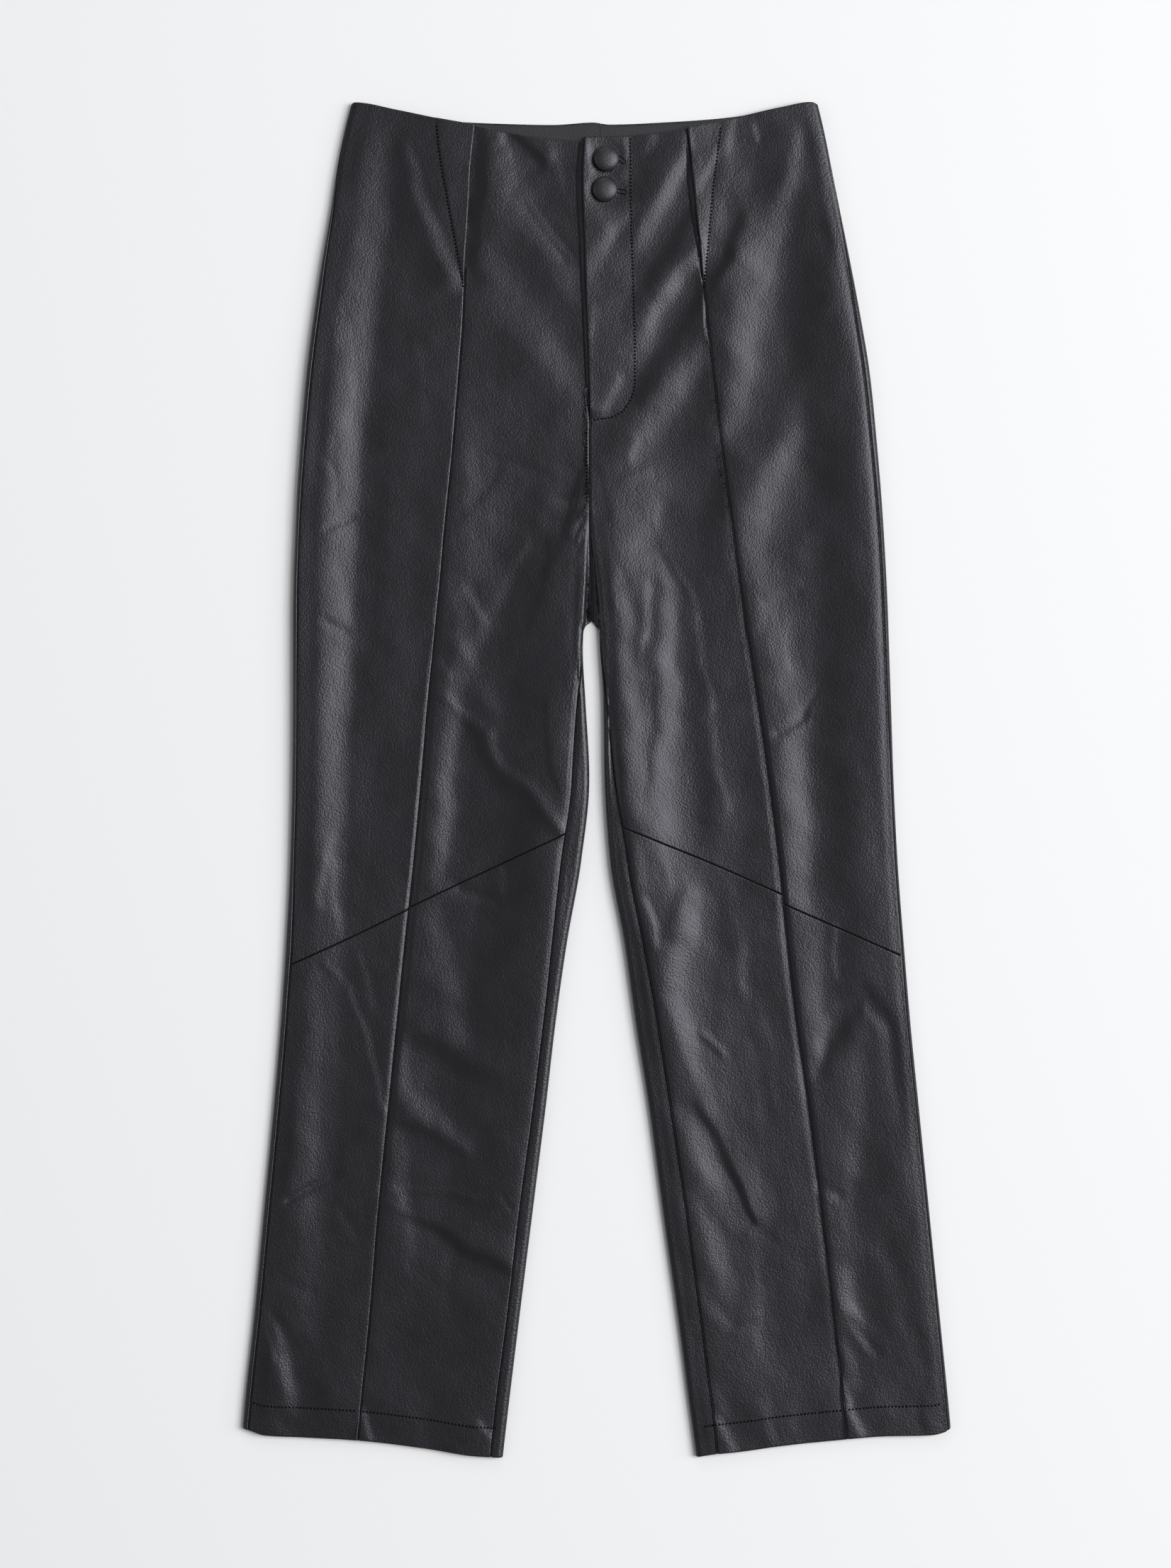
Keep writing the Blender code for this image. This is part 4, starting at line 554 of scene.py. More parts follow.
# Rounded edges, which are left out where the centre seam lies in the valley, and the grooves of the seams
EDGE_ROLL = 1.1
SEAM_DROP = {"right": 0.5, "left": 0.0}
TOP_EDGE_DROP = 0.6
KNEE_DROP = 0.65
VALLEY_SEAM = 240.0
VALLEY_SEAM_FADE = 12.0
GROOVE_DEPTH = 0.9
GROOVE_WIDTH = {"right": 0.8, "left": 1.2}
GROOVE_WALL = 0.4
GROOVE_EDGE_DROP = 0.15
SEAM_BLEND = 2.0

# Usual widths of a front panel's spans, which set how many grid lines each has
FRONT_SPANS = {
    "centre_upper_right": (24.0, 126.0),
    "centre_upper_left": (96.0, 30.0),
    "side_upper_right": (26.0, 95.0),
    "side_upper_left": (26.0, 95.0),
    "centre_lower_right": (150.0,),
    "centre_lower_left": (150.0,),
    "side_lower_right": (115.0,),
    "side_lower_left": (115.0,),
}

# Columns of a back panel, as places round the leg: close beside its seams, half as far apart at the inseam,
# then even round the outer fold, on the floor and round the inner fold, as (first, last, how many)
SEAM_PLACES = (0.0, 0.025, 0.06, 0.1, 0.16)
INSEAM_SPACING = 0.5
OUTER_PLACES = (0.22, 1.0, 14)
FLOOR_PLACES = (1.0, 2.0, 26)
INNER_PLACES = (2.0, 2.9, 18)

# Columns up to the waist's turn end at the front waist and the others at the back waist. The stretch on the
# floor is flat, and near either seam one place is this many millimetres.
WAIST_TURN = 0.5
FLOOR_START = 0.98
FLOOR_END = 2.02
OUTSEAM_REACH = 12.0
INSEAM_REACH = 20.0

# Rows of the facing, close at its rounded edge and then even, and how many columns it has
FACING_EDGE_ROWS = (0.0, 0.3, 0.7, 1.2, 2.0)
FACING_FIRST_ROW = 4.0
FACING_ROWS = 16
FACING_COLUMNS = 60

# Stitches, and their thickness along them as (share of the length, share of the radius)
STITCH_PITCH = 2.65
STITCH_LENGTH = 1.4
THREAD_RADIUS = 0.75
THREAD_SINK = 0.1
STITCH_SIDES = 6
STITCH_PROFILE = ((-0.5, 0.35), (-0.42, 0.8), (-0.2, 1.0), (0.2, 1.0), (0.42, 0.8), (0.5, 0.35))

# Stitched lines: how many points each is read at, and where the lines of the hems, tucks and centre end
LINE_POINTS = {"tuck": 160, "hem": 200, "centre": 60, "fly": 70, "fly_bend": 30, "buttonhole": 49}
HEM_MARGIN = 6.5
HEM_SEAM_MARGIN = 1.0
HEM_LEVELS = {"outer": -465.0, "front_seam": -466.0, "inner": -478.0}
TUCK_STITCH_START = 363.0
TUCK_STITCH_TOP = {"right": 485.5, "left": 482.0}
CENTRE_STITCH_TOP = 260.0
CENTRE_STITCH_END = 204.0
CENTRE_STITCH_PLACE = 1.7

# The ends of the buttonholes that show beside the buttons, as two (x, y)
BUTTONHOLES = {
    "buttonhole_upper": ((17.0, 458.8), (19.6, 456.2)),
    "buttonhole_lower": ((16.2, 434.6), (20.2, 433.6)),
}
BUTTONHOLE_HALF_WIDTH = 1.5
BUTTONHOLE_PITCH = 1.0
BUTTONHOLE_STITCH = 0.9
BUTTONHOLE_THREAD = 0.45

# Leather: base colour, roughness and share of the grain of each kind
LEATHERS = {
    "faux_leather": ((0.0064, 0.0064, 0.0078), 0.37, 1.0),
    "waist_facing": ((0.012, 0.012, 0.012), 0.5, 0.5),
    "button_cover": ((0.011, 0.011, 0.0115), 0.42, 0.7),
}
LEATHER_IOR = 1.5
LEATHER_TINT = (0.9, 0.9, 1.0, 1.0)

# Tone and gloss vary from patch to patch: scale and detail of the patches, shares of the colour, and spread
TONE_PATCHES = (28.0, 3.0)
TONE_STOPS = ((0.35, 0.85), (0.65, 1.15))
GLOSS_PATCHES = (60.0, 4.0)
GLOSS_SPREAD = 0.05

# Grain: pebbles, then a finer and a coarser unevenness with their scale and detail, and the strength and
# depth of each
PEBBLE_SCALE = 760.0
PEBBLE_SMOOTHNESS = 0.35
PEBBLE_BUMP = (0.8, 0.18)
FINE_GRAIN = (1500.0, 3.0)
FINE_BUMP = (0.3, 0.08)
COARSE_GRAIN = (330.0, 2.0)
COARSE_BUMP = (0.15, 0.08)

# Matte things: the thread and the floor
THREAD_COLOUR = (0.002, 0.002, 0.0022)
FLOOR_COLOUR = (0.785, 0.79, 0.795)
MATTE_ROUGHNESS = 0.9
MATTE_SPECULAR = 0.1

# Camera, straight above
CAMERA_X = -8.4
CAMERA_Y = -3.1
PICTURE_HEIGHT = 1157.4
LENS = 85.0
SENSOR = 36.0
CLOTH_LEVEL = 5.0
NEAREST = 0.05
FARTHEST = 60.0

# Room: half the width of its floor, its even light, and its soft lights as (place, size, power), in metres
# and watts
FLOOR_HALF = 6.0
ROOM_COLOUR = (0.98, 0.985, 1.0)
ROOM_STRENGTH = 0.2
LIGHTS = {
    "main_right": ((4.2, 0.75, 5.85), (4.2, 4.8), 505.0),
    "low_right": ((6.9, 0.3, 4.05), (3.3, 4.5), 190.0),
    "fill_left": ((-4.0, 0.3, 2.8), (2.5, 2.5), 20.0),
    "fill_top": ((0.0, 4.4, 3.0), (2.5, 2.5), 30.0),
}


def smoothstep(value):
    """Rise smoothly from 0 to 1 while value goes from 0 to 1."""
    share = np.clip(value, 0.0, 1.0)
    return share * share * (3.0 - 2.0 * share)


def mix(low, high, share):
    """The value at share of the way from low to high."""
    return low + (high - low) * share


def even_slopes(position, value):
    """Slopes at the points of a table that keep the curve through them from overshooting."""
    width = np.diff(position)
    secant = np.diff(value) / width
    slope = np.empty_like(value)
    slope[0], slope[-1] = secant[0], secant[-1]
    for index in range(1, len(value) - 1):
        before, after = secant[index - 1], secant[index]
        if before * after <= 0.0:
            slope[index] = 0.0
            continue
        weight_before = 2.0 * width[index] + width[index - 1]
        weight_after = width[index] + 2.0 * width[index - 1]
        slope[index] = (weight_before + weight_after) / (weight_before / before + weight_after / after)
    return slope


def curve(points, at):
    """Read a smooth curve through (position, value) points; past its ends it goes on straight."""
    table = np.array(sorted(points), float)
    position, value = table[:, 0], table[:, 1]
    slope = even_slopes(position, value)
    at = np.asarray(at, float)
    span = np.clip(np.searchsorted(position, at) - 1, 0, len(position) - 2)
    width = position[span + 1] - position[span]
    share = np.clip((at - position[span]) / width, 0.0, 1.0)
    start = (1.0 + 2.0 * share) * (1.0 - share) ** 2 * value[span]
    start = start + share * (1.0 - share) ** 2 * width * slope[span]
    end = share ** 2 * (3.0 - 2.0 * share) * value[span + 1]
    end = end + share ** 2 * (share - 1.0) * width * slope[span + 1]
    before = np.minimum(at - position[0], 0.0) * slope[0]
    after = np.maximum(at - position[-1], 0.0) * slope[-1]
    return start + end + before + after


def above_crotch(y):
    """Rise from 0 where the gap between the legs opens to 1 at the crotch."""
    return smoothstep((y - GAP_START) / (CROTCH - GAP_START))


def leg_curve(side, column, y):
    """One column of a leg's stations at y."""
    place = LEG_COLUMNS.index(column)
    return curve([(row[0], row[place]) for row in LEGS[side]], y)


def centre_front(y):
    """The seam below the fly, which runs down the middle of the valley to the crotch."""
    return 0.5 * (leg_curve("right", "inner", y) + leg_curve("left", "inner", y))


def tuck_line(side, y):
    """The stitched line of the tuck; below the dart point it only guides the grid, a little off the seam."""
    toward_centre = -SIGN[side]
    fold = leg_curve(side, "front_seam", y)
    width = toward_centre * (fold - curve(TUCK_STITCH[side], np.maximum(y, DART_POINT)))
    return fold - toward_centre * np.maximum(width, TUCK_GUIDE)


def fold_section(shape, off, distance, half_width):
    """Section of a fold of height 1, off and distance millimetres away from its line."""
    if shape == "ridge":
        return np.exp(-(distance / half_width) ** 2)
    inside = np.clip(distance / half_width, 0.0, 1.0)
    tail = 1.0 - smoothstep((distance - half_width) / (half_width + WAVE_TAIL))
    return np.where(off < 0.0, 1.0, -1.0) * (1.5 * inside - 0.5 * inside ** 3) * tail


def fold_shape(x, y, shape, points):
    """Height of one fold at a point; its width and height change evenly between the points of its line."""
    upward = 1.0 if points[-1][1] > points[0][1] else -1.0
    relief, total = 0.0 * x, 0.0 * x
    last = len(points) - 2
    for index, (start, end) in enumerate(zip(points, points[1:])):
        length = math.hypot(end[0] - start[0], end[1] - start[1])
        along_x, along_y = (end[0] - start[0]) / length, (end[1] - start[1]) / length
        along = (x - start[0]) * along_x + (y - start[1]) * along_y
        off = upward * ((x - start[0]) * along_y - (y - start[1]) * along_x)
        before, after = np.maximum(-along, 0.0), np.maximum(along - length, 0.0)
        past_end = before * (index == 0) + after * (index == last)
        corner = before * (index > 0) + after * (index < last)
        share = np.clip(along / length, 0.0, 1.0)
        half_width = mix(start[2], end[2], share)
        height = mix(start[3], end[3], share) * fold_section(shape, off, np.hypot(off, corner), half_width)
        fade = np.exp(-(past_end / (FOLD_END * half_width)) ** 2)
        weight = (off ** 2 + (before + after) ** 2 + CORNER_BLEND ** 2) ** -4
        relief = relief + weight * height * fade
        total = total + weight
    return relief / total


def wander(x, y):
    """Shift a point a little and unevenly, so that the folds are as irregular as those of cloth.

    The lengths and phases of the waves only have to differ, so that nothing repeats.
    """
    across = WANDER * np.sin(y / 13.0 + 0.7 + 0.6 * np.sin(x / 17.0))
    across = across + FINE_WANDER * np.sin(y / 5.7 + x / 19.0 + 2.0)
    up = WANDER * np.sin(x / 12.0 + 1.9) + FINE_WANDER * np.sin(x / 6.3 - y / 21.0 + 0.4)
    return x + across, y + up


def unevenness(waves, x, y):
    """Low waves of several lengths and directions, bent a little so that none of them shows as a row."""
    relief = 0.0 * x
    for wavelength, direction, phase, height in waves:
        angle = math.radians(direction)
        bend = BEND_UP[0] * np.sin(y / BEND_UP[1] + phase)
        bend = bend + BEND_ACROSS[0] * np.sin(x / BEND_ACROSS[1] + 2.0 * phase)
        along = x * math.sin(angle) + y * math.cos(angle) + bend
        relief = relief + height * np.sin(2.0 * math.pi * along / wavelength + phase)
    return relief


def small_relief(side, x, y):
    """Sum of the smaller folds at a point of the top layer."""
    on_side = smoothstep(SIGN[side] * (x - leg_curve(side, "front_seam", y)) / SEAM_BLEND + 0.5)
    relief = 0.0 * x
    for x0, y0, x1, y1, half_width, height, shape, only in SMALL_FOLDS:
        shown = on_side if only == "side" else 1.0 - on_side
        points = ((x0, y0, half_width, height), (x1, y1, half_width, height))
        relief = relief + shown * fold_shape(x, y, shape, points)
    return relief


def button_dimples(x, y):
    """How far the lap is drawn in round its buttons."""
    sunk = 0.0 * x
    for centre_x, centre_y in BUTTON_PLACES.values():
        outside = np.maximum(np.hypot(x - centre_x, y - centre_y) - BUTTON_RADIUS, 0.0)
        sunk = sunk + BUTTON_DIMPLE * np.exp(-(outside / BUTTON_DIMPLE_WIDTH) ** 2)
    return sunk


def beside_fold(distance, crest_place, crest, slope_width, fold_height, lying):
    """Rise above the lying level beside a fold: up to a crest and then down to the panel."""
    swell = crest * smoothstep((distance - FOLD_REACH) / (crest_place - FOLD_REACH))
    return (fold_height + swell - lying) * (1.0 - smoothstep((distance - crest_place) / slope_width))


def top_relief(side, x, y):
    """Folds, seam section and unevenness of the top layer, no deeper than the layers under it allow."""
    relief = curve(SEAM_SHARE[side], y) * curve(SEAM_SECTION[side], x - leg_curve(side, "front_seam", y))
    fold_x, fold_y = wander(x, y)
    for shape, points in TOP_FOLDS:
        relief = relief + fold_shape(fold_x, fold_y, shape, points)
    relief = relief + small_relief(side, fold_x, fold_y)
    relief = relief + unevenness(UNEVEN, x, y) + unevenness(FINE_UNEVEN, x, y)
    if side == "left":
        relief = relief - button_dimples(x, y)
    deepest = curve(DEEPEST, y)
    return np.where(relief < 0.0, -deepest * np.tanh(-relief / deepest), relief)


def valley_height(side, x, y, inner_distance, height):
    """Height beside the valley: its wall leans on the right leg, and is upright at its foot on the left."""
    rise = np.clip((inner_distance + VALLEY_FOOT[side]) / VALLEY_SLOPE[side], 0.0, 1.0)
    above_floor = 1.0 - (1.0 - rise) ** 3 if side == "right" else np.sqrt(1.0 - (1.0 - rise) ** 2)
    past_foot = x - leg_curve("right", "inner", y) - VALLEY_FOOT["right"]
    floor = VALLEY_FLOOR + VALLEY_TILT * np.clip(past_foot, 0.0, VALLEY_TILT_WIDTH)
    return floor + (height - floor) * above_floor


def top_height(side, x, y):
    """Height of the outer face of the top layer between the two folds of a leg."""
    sign = SIGN[side]
    outer_distance = sign * (leg_curve(side, "outer", y) - x)
    inner_distance = sign * (x - leg_curve(side, "inner", y))
    lying = curve(LYING_HEIGHT, y)
    leg_share = smoothstep((VALLEY_START - y) / (VALLEY_START - CROTCH))
    outer_rise = beside_fold(outer_distance, CREST_PLACE[side], curve(OUTER_CREST[side], y),
                             curve(OUTER_SLOPE[side], y), curve(OUTER_FOLD[side], y), lying)
    inseam_distance = leg_curve(side, "inseam", y) + FOLD_REACH - FOLD_ARC
    crest_place = np.maximum(inseam_distance + curve(INSEAM_CREST, y), INNER_CREST_PLACE)
    crest = curve(INNER_CREST, np.minimum(y, VALLEY_START))
    inner_rise = beside_fold(inner_distance, crest_place, crest, INNER_SLOPE, curve(INNER_FOLD, y), lying)
    trough = 1.0 - smoothstep(np.abs(inner_distance - inseam_distance) / INSEAM_TROUGH_WIDTH)
    height = lying + outer_rise + inner_rise * leg_share
    height = height - curve(INSEAM_TROUGH, np.minimum(y, CROTCH)) * trough * leg_share
    clear_of_outer = smoothstep((outer_distance - FOLD_REACH) / FOLD_CLEARANCE)
    clear_of_inner = mix(1.0, smoothstep((inner_distance - FOLD_REACH) / INNER_CLEARANCE), leg_share)
    height = height + top_relief(side, x, y) * clear_of_outer * clear_of_inner
    valley = leg_share * (y > VALLEY_END)
    return mix(height, valley_height(side, x, y, inner_distance, height), valley)


def round_fold(edge, inwards, arc, fold_height):
    """Section point of a half-round fold, arc millimetres round from its outermost point."""
    angle = 0.5 * math.pi * np.clip(arc / FOLD_ARC, -1.0, 1.0)
    beyond = np.maximum(np.abs(arc) - FOLD_ARC, 0.0)
    x = edge + inwards * (FOLD_REACH * (1.0 - np.cos(angle)) + beyond)
    z = 0.5 * fold_height * (1.0 + np.sin(angle))
    return x, z


def arc_to_place(edge, inwards, arc):
    """Turn a distance round the cloth into a place on the unrolled top layer."""
    return edge + inwards * (FOLD_REACH + arc - FOLD_ARC)


def surface_point(side, place, y):
    """Outer face of a leg: place is x on top, and runs on round the folds past either edge."""
    sign = SIGN[side]
    outer, inner = leg_curve(side, "outer", y), leg_curve(side, "inner", y)
    outer_arc = sign * (outer - place) - FOLD_REACH + FOLD_ARC
    inner_arc = sign * (place - inner) - FOLD_REACH + FOLD_ARC
    x, z = np.array(place, float), top_height(side, place, y)
    outer_x, outer_z = round_fold(outer, -sign, outer_arc, curve(OUTER_FOLD[side], y))
    x, z = np.where(outer_arc < FOLD_ARC, outer_x, x), np.where(outer_arc < FOLD_ARC, outer_z, z)
    inner_x, inner_z = round_fold(inner, sign, inner_arc, curve(INNER_FOLD, y))
    below_crotch = 1.0 - above_crotch(y)
    rolled = np.where(inner_arc < FOLD_ARC, below_crotch, 0.0)
    return np.stack([mix(x, inner_x, rolled), y + 0.0 * x, mix(z, inner_z, rolled)], axis=-1)


def normals(side, place, y):
    """Outward unit normals of the outer face of a leg."""
    along = surface_point(side, place + NORMAL_STEP, y) - surface_point(side, place - NORMAL_STEP, y)
    up = surface_point(side, place, y + NORMAL_STEP) - surface_point(side, place, y - NORMAL_STEP)
    normal = np.cross(along, up)
    return normal / np.linalg.norm(normal, axis=-1, keepdims=True)


def seam_place(side, seam, y, shift):
    """Place of the outseam or the inseam, moved by shift millimetres towards the front panel."""
    sign = SIGN[side]
    fold, inwards = ("outer", -sign) if seam == "outseam" else ("inner", sign)
    return arc_to_place(leg_curve(side, fold, y), inwards, leg_curve(side, seam, y) + shift)


def centre_inner_place(side, y):
    """Inner edge of a centre front: fly lap or underlap, then the centre seam, then the inseam."""
    sign = SIGN[side]
    half_gap = 0.5 * SEAM_GAP
    seam = centre_front(y) + sign * half_gap
    upper = curve(FLY_EDGE, y) + sign * half_gap
    if side == "right":
        open_share = smoothstep((y - UNDERLAP_END) / (UNDERLAP_FULL - UNDERLAP_END))
        upper = mix(upper, UNDERLAP_EDGE, open_share)
    place = np.where(y > LAP_END, upper, seam)
    below_crotch = 1.0 - above_crotch(y)
    return mix(place, seam_place(side, "inseam", np.minimum(y, CROTCH), 0.5 * INSEAM_GAP), below_crotch)


def centre_outer_place(side, y):
    """Outer edge of a centre front: the front seam, and under the tuck its stitched line."""
    sign = SIGN[side]
    seam = leg_curve(side, "front_seam", y) - sign * 0.5 * SEAM_GAP
    under = curve(TUCK_STITCH[side], np.maximum(y, DART_POINT)) - sign * TUCK_UNDERLAP_PAST
    share = smoothstep((y - TUCK_UNDERLAP_START) / (TUCK_UNDERLAP_FULL - TUCK_UNDERLAP_START))
    return mix(seam, under, share)


def tuck_offsets(side, x, y):
    """How far the side front's two faces lie above the top layer: it laps over the centre front."""
    toward_centre = -SIGN[side]
    stitch = curve(TUCK_STITCH[side], np.maximum(y, DART_POINT))
    past = toward_centre * (x - stitch)
    width = np.maximum(toward_centre * (leg_curve(side, "front_seam", y) - stitch), 1.0)
    present = smoothstep((y - DART_POINT) / TUCK_FADE)
    lift = (WALL + LAP_GAP) * smoothstep((past + TUCK_LIFT_WIDTH) / TUCK_LIFT_WIDTH) * present
    step = smoothstep(past / TUCK_STEP_WIDTH)
    doubled = WALL * mix(np.clip(past / width, 0.0, 1.0), step, TUCK_STEP[side]) * present
    standing = smoothstep(past / width) * smoothstep((y - TUCK_OPEN_FROM) / TUCK_OPEN_LENGTH)
    lift = lift + TUCK_OPEN[side] * standing
    return lift + doubled, lift - WALL


def fly_offsets(x, y):
    """How far the left centre front's faces lie above the top layer: its lap slopes to the stitches."""
    present = smoothstep((y - FLY_FADE_START) / FLY_FADE)
    stitch = curve(FLY_STITCH, np.maximum(y, FLY_STITCH_END))
    slope = np.clip((stitch - x) / (stitch - curve(FLY_EDGE, y)), 0.0, 1.0)
    lip = FLY_LIP * (1.0 - smoothstep((x - curve(FLY_EDGE, y)) / FLY_LIP_WIDTH))
    over = (FLY_RISE * slope + lip) * present
    doubled = WALL * smoothstep((stitch + LAP_DOUBLED_PAST - x) / LAP_DOUBLED_FADE) * present
    return over, over - WALL - doubled


def slot(past, width):
    """Depth share of a slot beside an edge over it: its floor rises from its far wall up to the edge."""
    wall = np.clip((past + width) / SLOT_WALL, 0.0, 1.0)
    floor = mix(1.0, SLOT_SHALLOW, np.clip(1.0 + past / width, 0.0, 1.0))
    return wall * mix(floor, 1.0, smoothstep(past / SLOT_HIDDEN))


def underlap_sink(x, y):
    """How far the right centre front sinks in the slot at the fly lap and under it."""
    present = smoothstep((y - FLY_FADE_START) / FLY_FADE)
    return UNDERLAP_SINK * slot(x - curve(FLY_EDGE, y), curve(FLY_SLOT, y)) * present


def tuck_slot(x, y):
    """How far the left centre front sinks beside the open part of the tuck."""
    present = smoothstep((y - TUCK_SLOT_START) / TUCK_SLOT_RISE)
    present = present * (1.0 - smoothstep((y - TUCK_SLOT_END) / TUCK_SLOT_FALL))
    return TUCK_SLOT * slot(x - leg_curve("left", "front_seam", y), curve(TUCK_SLOT_WIDTH, y)) * present


def slot_line(side, y):
    """Grid line along the slot beside the fly lap or the left tuck; elsewhere it keeps inside the panel."""
    if side == "right":
        line = curve(FLY_EDGE, y) - curve(FLY_SLOT, y)
        return np.minimum(line, centre_inner_place(side, y) - SLOT_GUIDE)
    line = leg_curve(side, "front_seam", y) - curve(TUCK_SLOT_WIDTH, y)
    return np.minimum(line, centre_outer_place(side, y) - SLOT_GUIDE)


def roll(distance, drop):
    """How far a face sinks at a rounded edge, from drop at the edge to nothing at its radius."""
    share = 1.0 - np.clip(distance / EDGE_ROLL, 0.0, 1.0)
    return drop * (1.0 - np.sqrt(1.0 - share ** 2))


def seam_edge(distance, facing_right, side):
    """How far a face sinks beside a seam: a groove on the panel at its +X side, else a rounded edge."""
    if facing_right:
        return roll(distance, SEAM_DROP[side])
    past_groove = (distance - GROOVE_WIDTH[side]) / GROOVE_WALL
    return GROOVE_DEPTH * (1.0 - np.clip(past_groove, 0.0, 1.0)) + roll(distance, GROOVE_EDGE_DROP)


def fly_stitch_line():
    """Points of the fly's stitched line, from the waist down and round to the centre front."""
    y = np.linspace(FLY_STITCH_TOP, FLY_BEND_TOP, LINE_POINTS["fly"])
    straight = np.stack([curve(FLY_STITCH, y), y], axis=-1)
    x = np.linspace(FLY_BEND_END, FLY_BEND_START, LINE_POINTS["fly_bend"])[::-1]
    low = np.stack([x, curve(FLY_BEND, x)], axis=-1)
    return np.concatenate([straight, low])


def grid_lines(counts, direction, close=CLOSE_LINES):
    """Grid lines between anchors, closer together beside each anchor.

    A line is (span, share, start, end): it lies at share of the way from start past the span's first anchor
    to end short of its last one.
    """
    last = close[-1]
    lines = []
    for span, count in enumerate(counts):
        skip = 1 if span > 0 else 0
        lines += [(span, 0.0, direction * near, 0.0) for near in close[skip:]]
        lines += [(span, (index + 1.0) / (count + 1.0), direction * last, direction * last)
                  for index in range(count)]
        lines += [(span, 1.0, 0.0, direction * near) for near in close[::-1]]
    return lines


def lay_lines(lines, anchors, axis):
    """Positions of the grid lines, given the value of each anchor at every point of the grid."""
    spots = []
    for index, (span, share, start, end) in enumerate(lines):
        low = np.take(anchors[span], index, axis=axis)
        high = np.take(anchors[span + 1], index, axis=axis)
        spots.append(mix(low + start, high - end, share))
    return np.stack(spots, axis=axis)


def panel_grid(side, place_anchors, counts, top, bottom, hem, close):
    """Places and heights of a front panel's grid, row by row from its top edge down."""
    columns = grid_lines(counts, SIGN[side], close)

    def places_at(y):
        return lay_lines(columns, [anchor(y) for anchor in place_anchors], -1)

    ends = []
    for edge, start in ((top, FIRST_GUESS), (bottom, -FIRST_GUESS)):
        y = np.full(len(columns), start)
        for _ in range(EDGE_ROUNDS):
            y = edge(surface_point(side, places_at(y), y)[..., 0])
        ends.append(y)
    anchors = [ends[0], ends[1] + HEM, ends[1]] if hem else ends
    length = float(np.mean(anchors[0] - anchors[1]))
    row_counts = [int(length / FRONT_STEP)] + ([int(HEM / FRONT_STEP)] if hem else [])
    rows = grid_lines(row_counts, -1.0)
    tall = [np.tile(anchor, (len(rows), 1)) for anchor in anchors]
    heights = lay_lines(rows, tall, 0)
    return places_at(heights), heights


def shell(name, outer, inner, material, flip=False):
    """One closed wall between two grids of points, in millimetres."""
    rows, columns = outer.shape[:2]
    offset = rows * columns
    vertices = np.concatenate([outer.reshape(-1, 3), inner.reshape(-1, 3)]) * MM
    index = np.arange(offset).reshape(rows, columns)
    a, b, c, d = index[:-1, :-1], index[1:, :-1], index[1:, 1:], index[:-1, 1:]
    front = np.stack([a, b, c, d], axis=-1).reshape(-1, 4)
    back = front[:, ::-1] + offset
    rim = np.concatenate([index[0, :], index[1:, -1], index[-1, -2::-1], index[-2:0:-1, 0]])
    after = np.roll(rim, -1)
    side = np.stack([rim, after, after + offset, rim + offset], axis=-1)
    faces = np.concatenate([front, back, side])
    if flip:
        faces = faces[:, ::-1]
    return add_mesh(name, vertices, faces, material)


def flat_size(face):
    """Width, length and area of a face that is laid out flat, in metres and square metres."""
    across = np.linalg.norm(np.diff(face, axis=1), axis=-1)
    along = np.linalg.norm(np.diff(face, axis=0), axis=-1)
    first = np.cross(face[1:, 1:] - face[:-1, :-1], face[1:, :-1] - face[:-1, 1:])
    area = 0.5 * np.linalg.norm(first, axis=-1).sum()
    width = across.sum(axis=1).max() * MM
    length = along.sum(axis=0).max() * MM
    return width, length, min(area * MM * MM, width * length)


def add_mesh(name, vertices, faces, material):
    """A smooth mesh with sharp edges where it turns sharply, fixed to the root body."""
    mesh = bpy.data.meshes.new(name)
    mesh.from_pydata(np.asarray(vertices).tolist(), [], [list(map(int, face)) for face in faces])
    mesh.materials.append(material)
    mesh.shade_smooth()
    mesh.set_sharp_from_angle(angle=math.radians(SHARP_ANGLE))
    piece = bpy.data.objects.new(name, mesh)
    bpy.context.scene.collection.objects.link(piece)
    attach(piece, "root")
    return piece


def front_faces(kind, side, places, heights, edges, hem):
    """Outer and inner face of a front panel, as points."""
    base = surface_point(side, places, heights)
    normal = normals(side, places, heights)
    x = base[..., 0]
    over, under = 0.0 * x, 0.0 * x - WALL
    upper = kind.endswith("upper")
    if kind == "centre_upper" and side == "left":
        over, under = fly_offsets(x, heights)
        sunk = tuck_slot(x, heights)
        over, under = over - sunk, under - sunk
    if kind == "centre_upper" and side == "right":
        over = -underlap_sink(x, heights)
        under = over - WALL
    if kind == "side_upper":
        over, under = tuck_offsets(side, x, heights)
    inner_edge, outer_edge, top_edge, bottom_edge = edges
    from_inner = np.abs(places - inner_edge)
    from_outer = np.abs(places - outer_edge)
    from_top = np.abs(top_edge - heights)
    from_bottom = np.abs(heights - bottom_edge)
    folded_inner = 0.0 * x
    if kind == "side_upper":
        folded_inner = smoothstep((heights - DART_POINT) / TUCK_FADE)
    if kind == "centre_upper" and side == "left":
        folded_inner = smoothstep((heights - LAP_FOLD_START) / LAP_FOLD_FADE)
    thickness = over - under
    folded_edge = roll(from_inner, 0.5 * thickness)
    inner_drop = seam_edge(from_inner, side == "right", side)
    if kind == "centre_upper" and side == "right":
        in_valley = smoothstep((VALLEY_SEAM - heights) / VALLEY_SEAM_FADE)
        in_valley = in_valley * above_crotch(heights)
        inner_drop = inner_drop * (1.0 - in_valley)
    over = over - mix(inner_drop, folded_edge, folded_inner)
    under = under + folded_edge * folded_inner
    over = over - seam_edge(from_outer, side == "left", side)
    over = over - roll(from_top, TOP_EDGE_DROP if upper else KNEE_DROP)
    over = over - roll(from_bottom, WALL if hem else KNEE_DROP)
    if hem:
        under = np.where(heights <= bottom_edge + HEM, under - WALL, under)
    return base + normal * over[..., None], base + normal * under[..., None]


